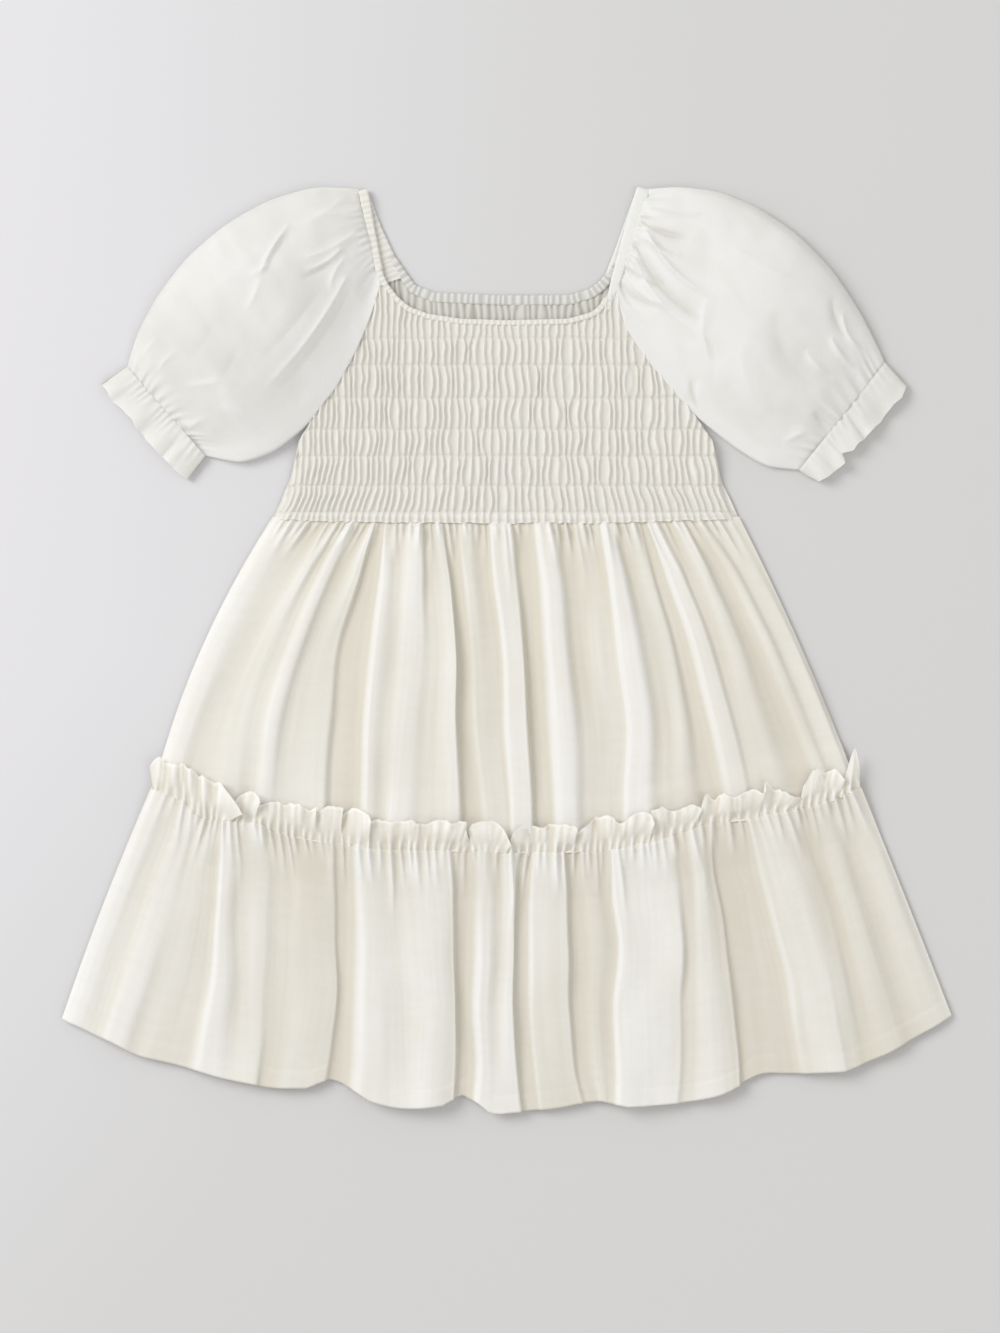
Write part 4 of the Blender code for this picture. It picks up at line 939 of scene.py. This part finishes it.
def cuff_sheet(name, table, edge, seed, material):
    """The frill beyond a cuff's elastic, open at its free edge."""
    fold = np.array(table[-1][0:2], float)
    inner = np.array(table[-1][2:4], float)
    unit = (inner - fold) / np.linalg.norm(inner - fold)
    outward = np.array([-unit[1], unit[0]])
    if np.dot(outward, along(edge, 0.5) - fold) < 0:
        outward = -outward
    around, rows = 320, 26
    angle = 2 * np.pi * np.arange(around) / around
    share = 0.5 - 0.5 * np.cos(angle)
    lift = np.sin(angle)
    size = np.sign(lift) * np.minimum(1.0, np.abs(lift) * 1.5)
    edge_points = along(edge, share)
    drawn = 0.9 + 0.9 * wander(share, seed + 5, 0.05)
    edge_points = edge_points - outward * drawn[:, None]
    middle = CLOTH / 2 + CUFF_OPEN / 2
    phase = 3.3 * share + 0.5 * wander(share, seed, 0.16)
    grid = []
    for r in range(rows):
        v = r / (rows - 1)
        near = fold + outward * 0.1 + (inner - fold) * share[:, None]
        plan = near * (1 - v) + edge_points * v
        wave = np.cos(2 * np.pi * phase) * v * np.abs(lift)
        small = np.cos(2 * np.pi * (17 * share + 0.4 * wander(share, seed + 1, 0.1)))
        z = middle + size * CUFF_OPEN / 2
        uneven = 0.75 + 0.6 * wander(share, seed + 4, 0.07)
        pucker = 0.55 * small * uneven * np.abs(lift) * (1 - smoothstep(v / 0.75))
        z = z + np.where(lift > 0, 1.9 * wave - 1.4 * v + pucker, 0.0)
        z = z - 0.55 * np.exp(-((v - 0.02) / 0.05) ** 2) * (lift > 0)
        z = z + 0.5 * noise(plan[:, 0], plan[:, 1], seed + 2, 7, 7) * v * (lift > 0)
        shift = unit[None, :] * (1.2 * v * np.sin(2 * np.pi * phase) * np.abs(lift))[:, None]
        plan = plan + shift
        grid.append(np.concatenate([plan, z[:, None]], axis=1))
    grid = np.array(grid)
    # painted light: paler the higher the cloth stands, with a painted highlight along the free
    # edge
    painted_light_and_tone = 0.72 + 0.14 * (grid[..., 2] - middle - CUFF_OPEN / 2)
    painted_light_and_tone[-1] += 0.3
    return sheet_mesh(name, grid, material, painted_light_and_tone, closed=True)


# The dress
# looks: name, colour, painted shade colour, light let through, crinkle
SKIRT = cotton("skirt_look", (0.925, 0.911, 0.882), (0.765, 0.73, 0.635), 0.20, 1.0)
TIER = cotton("tier_look", (0.925, 0.914, 0.893), (0.755, 0.72, 0.63), 0.20, 1.0)
FRILL = cotton("frill_look", (0.945, 0.93, 0.897), (0.77, 0.735, 0.645), 0.22, 1.2)
BODICE = cotton("bodice_look", (0.92, 0.91, 0.875), (0.80, 0.775, 0.715), 0.20, 1.0)
# painted shade: the backs, the same cotton darkened where they lie under the fronts
SHADED_BACK = cotton("back_painted_shade_look", (0.84, 0.81, 0.74), (0.80, 0.765, 0.69), 0.20, 1.0)
# painted shade: the back strip inside the neck, darkened where the front's edge shades it
SHADED_INSIDE = cotton("inside_painted_shade_look", (0.75, 0.735, 0.69), (0.45, 0.43, 0.385), 0.15, 1.0)
SLEEVE = cotton("cream_cotton_sleeve_look", (0.92, 0.915, 0.90), (0.80, 0.785, 0.74), 0.28, 1.4)
TRIM = cotton("cream_cotton_trim_look", (0.95, 0.94, 0.91), (0.77, 0.745, 0.67), 0.25, 1.2)
# painted shade: the back casing inside the neck, the trim cotton darkened
SHADED_BACK_TRIM = cotton("back_trim_painted_shade_look", (0.87, 0.865, 0.84), (0.60, 0.59, 0.55), 0.25, 1.0)
SIDE_TRIM = cotton("side_trim_look", (0.92, 0.92, 0.90), (0.88, 0.875, 0.85), 0.25, 1.0)

skirt_front = folded_sheet(
    "skirt_front_cloth", SKIRT_FOLDS, moved(WAIST, 1.4), moved(TIER_SEAM, -1.0),
    columns=640, rows=150, material=SKIRT, gather=SKIRT_GATHER, seed=3,
)
tier_front = folded_sheet(
    "tier_front_cloth", TIER_FOLDS, moved(TIER_SEAM, 1.6), HEM,
    columns=720, rows=120, material=TIER, gather=TIER_GATHER, seed=TIER_SEED, hem=True,
)
skirt_back = flat_back(
    "skirt_back_cloth", SKIRT_FOLDS, moved(WAIST, -0.1), moved(TIER_SEAM, 0.3),
    columns=180, rows=60, bow=2.5, inset=0.4, material=SHADED_BACK, seed=51,
)
tier_back = flat_back(
    "tier_back_cloth", TIER_FOLDS, moved(TIER_SEAM, -0.3),
    [(x, max(y, -281) + 1.5) for x, y in HEM],
    columns=200, rows=60, bow=1.0, inset=1.5, material=SHADED_BACK, seed=52,
)
heading_front = heading_sheet(FRILL)
heading_back = sheet_mesh(
    "tier_heading_back_cloth",
    [
        [(x, height_on(TIER_SEAM, x) + 0.45 + HEADING_BACK * r / 6, 0.6)
         for x in np.linspace(2 - HEADING_END, HEADING_END - 2, 150)]
        for r in range(7)
    ],
    TRIM,
)
bodice_front = bodice_sheet(BODICE)
bodice_back = bodice_back_sheet(SHADED_INSIDE)
even = np.linspace(0.0, 1.0, 60)
FRONT_EDGE = [(-82, 244), (-77, 233), (-70, 224)] + NECK_FRONT[1:-1] + [(60.5, 218), (64, 224)]
BACK_EDGE = [(-74, 252), (-70, 246), (-66, 240), (-60, 231), (-46, 225.4), (-2, 223.6),
             (41, 223.8), (54.5, 227.8), (62, 233.5), (67.5, 240.5), (72.5, 249)]
neck_front = band(
    "neck_casing_front_cloth", [(*p, FRONT_BASE + 2.0) for p in along(FRONT_EDGE, even)],
    width=[3.6, 3.6], thick=3.0, pucker=0.22, pitch=3.4, seed=31, material=TRIM,
)
neck_back = band(
    "neck_casing_back_cloth", [(*p, 1.4) for p in along(BACK_EDGE, even)],
    width=[5.0, 6.4, 6.4, 6.4, 6.4, 6.4], thick=2.4, pucker=0.34, pitch=4.3, seed=32,
    material=SHADED_BACK_TRIM,
)
neck_left = band(
    "neck_casing_left_cloth", side_path((-79, 233), (-72.5, 236), (-91.0, 292)),
    width=[4.6, 4.6, 5, 6, 6, 8, 12, 16], thick=2.0, pucker=0.22, pitch=3.8, seed=33,
    material=TRIM,
)
neck_right = band(
    "neck_casing_right_cloth", side_path((64.6, 217.5), (66.5, 238), (87.4, 293)),
    width=[3.4, 6.4, 7.6, 8.6, 8.6, 8, 7, 7], thick=2.2, pucker=0.10, pitch=3.8, seed=34,
    material=SIDE_TRIM,
)
sleeve_left = sleeve_sheet(
    "sleeve_left_cloth", SLEEVE_LEFT, CREASES_LEFT, seed=61, tuck=0.25, tone=0.56, material=SLEEVE
)
sleeve_right = sleeve_sheet(
    "sleeve_right_cloth", SLEEVE_RIGHT, CREASES_RIGHT, seed=62, tuck=1.0, tone=0.92,
    material=SLEEVE,
)
cuff_left = cuff_sheet("cuff_frill_left_cloth", SLEEVE_LEFT, CUFF_EDGE_LEFT, 63, SLEEVE)
cuff_right = cuff_sheet("cuff_frill_right_cloth", SLEEVE_RIGHT, CUFF_EDGE_RIGHT, 64, SLEEVE)

# Each sheet is named after the solid that it replaces
PIECES = [
    # sheet, slot, flat size (m), area (m2), what it rests on
    (skirt_front, "body", (0.46, 0.215), 0.098, ["skirt_back_cloth"]),
    (skirt_back, "body", (0.42, 0.205), 0.086, []),
    (tier_front, "body", (0.64, 0.18), 0.115, ["tier_back_cloth"]),
    (tier_back, "body", (0.56, 0.165), 0.092, []),
    (heading_front, "trim", (0.60, 0.02), 0.0115, ["skirt_front_cloth"]),
    (heading_back, "trim", (0.50, 0.015), 0.0075, []),
    (bodice_front, "body", (0.36, 0.145), 0.045, ["bodice_back_cloth"]),
    (bodice_back, "body", (0.34, 0.14), 0.040, []),
    (neck_front, "trim", (0.17, 0.010), 0.00102, []),
    (neck_back, "trim", (0.15, 0.010), 0.00112, []),
    (neck_left, "trim", (0.14, 0.010), 0.00112, []),
    (neck_right, "trim", (0.14, 0.010), 0.00112, []),
    (sleeve_left, "sleeve", (0.25, 0.20), 0.046, []),
    (sleeve_right, "sleeve", (0.25, 0.20), 0.046, []),
    (cuff_left, "trim", (0.18, 0.025), 0.0042, []),
    (cuff_right, "trim", (0.18, 0.025), 0.0042, []),
]
for piece, slot, flat, area, rests_on in PIECES:
    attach(piece, "root")
    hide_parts(piece.name.removesuffix("_cloth"))

# Floor, light and camera; these sizes are in metres
FLOOR_SIDE = 14.0
FLOOR_GAP = 0.0003
PALE, DIM = (0.69, 0.68, 0.71, 1), (0.60, 0.595, 0.595, 1)
bpy.ops.mesh.primitive_plane_add(size=FLOOR_SIDE, location=(0, 0, -FLOOR_GAP))
floor = bpy.context.object
floor.name = "floor"
paper = bpy.data.materials.new("pale_floor")
paper.use_nodes = True
tree = paper.node_tree
# painted light: the floor's colour dims from the window side across, and sooner below the waist
place = shader(tree, "TexCoord")
across = shader(tree, "SeparateXYZ")
below = shader(tree, "Math", [(1, 0.0)], operation="MINIMUM")
slanted = shader(tree, "Math", [(1, -0.75)], operation="MULTIPLY_ADD")
fade = shader(tree, "MapRange", [("From Min", -0.42), ("From Max", 0.16)])
fade.interpolation_type = "SMOOTHSTEP"
painted_light_falloff = shader(tree, "MixRGB", [(1, PALE), (2, DIM)])
surface = tree.nodes["Principled BSDF"]
surface.inputs["Roughness"].default_value = 0.9
wire(place, "Object", across, 0)
wire(across, "Y", below, 0)
wire(below, 0, slanted, 0)
wire(across, "X", slanted, 2)
wire(slanted, 0, fade, "Value")
wire(fade, 0, painted_light_falloff, 0)
wire(painted_light_falloff, 0, surface, "Base Color")
floor.data.materials.append(paper)


def area_light(name, place, size, power, colour):
    """A round light that faces the middle of the dress."""
    data = bpy.data.lights.new(name, "AREA")
    data.shape = "DISK"
    data.size = size
    data.energy = power
    data.color = colour
    lamp = bpy.data.objects.new(name, data)
    lamp.location = place
    lamp.rotation_euler = (-Vector(place)).to_track_quat("-Z", "Y").to_euler()
    bpy.context.scene.collection.objects.link(lamp)


area_light("key", (-2.9, 1.6, 2.8), size=2.5, power=106.0, colour=(1.0, 1.0, 1.0))
area_light("fill", (1.0, -0.6, 2.2), size=2.2, power=11.0, colour=(1.0, 0.99, 0.97))
world = bpy.data.worlds.new("soft_room")
world.use_nodes = True
sky = world.node_tree.nodes["Background"]
sky.inputs["Color"].default_value = (0.985, 0.985, 0.965, 1)
sky.inputs["Strength"].default_value = 0.66
bpy.context.scene.world = world
bpy.context.scene.view_settings.view_transform = "Standard"

PHOTO_WIDTH = 0.64  # width that the photo takes in at the table
CAMERA_PLACE = (-0.0038, -0.0106, 2.6)
SENSOR_MM = 36.0
camera_data = bpy.data.cameras.new("camera")
camera_data.sensor_fit = "HORIZONTAL"
camera_data.sensor_width = SENSOR_MM
camera_data.lens = SENSOR_MM * CAMERA_PLACE[2] / PHOTO_WIDTH
camera = bpy.data.objects.new("camera", camera_data)
camera.location = CAMERA_PLACE
bpy.context.scene.collection.objects.link(camera)
bpy.context.scene.camera = camera
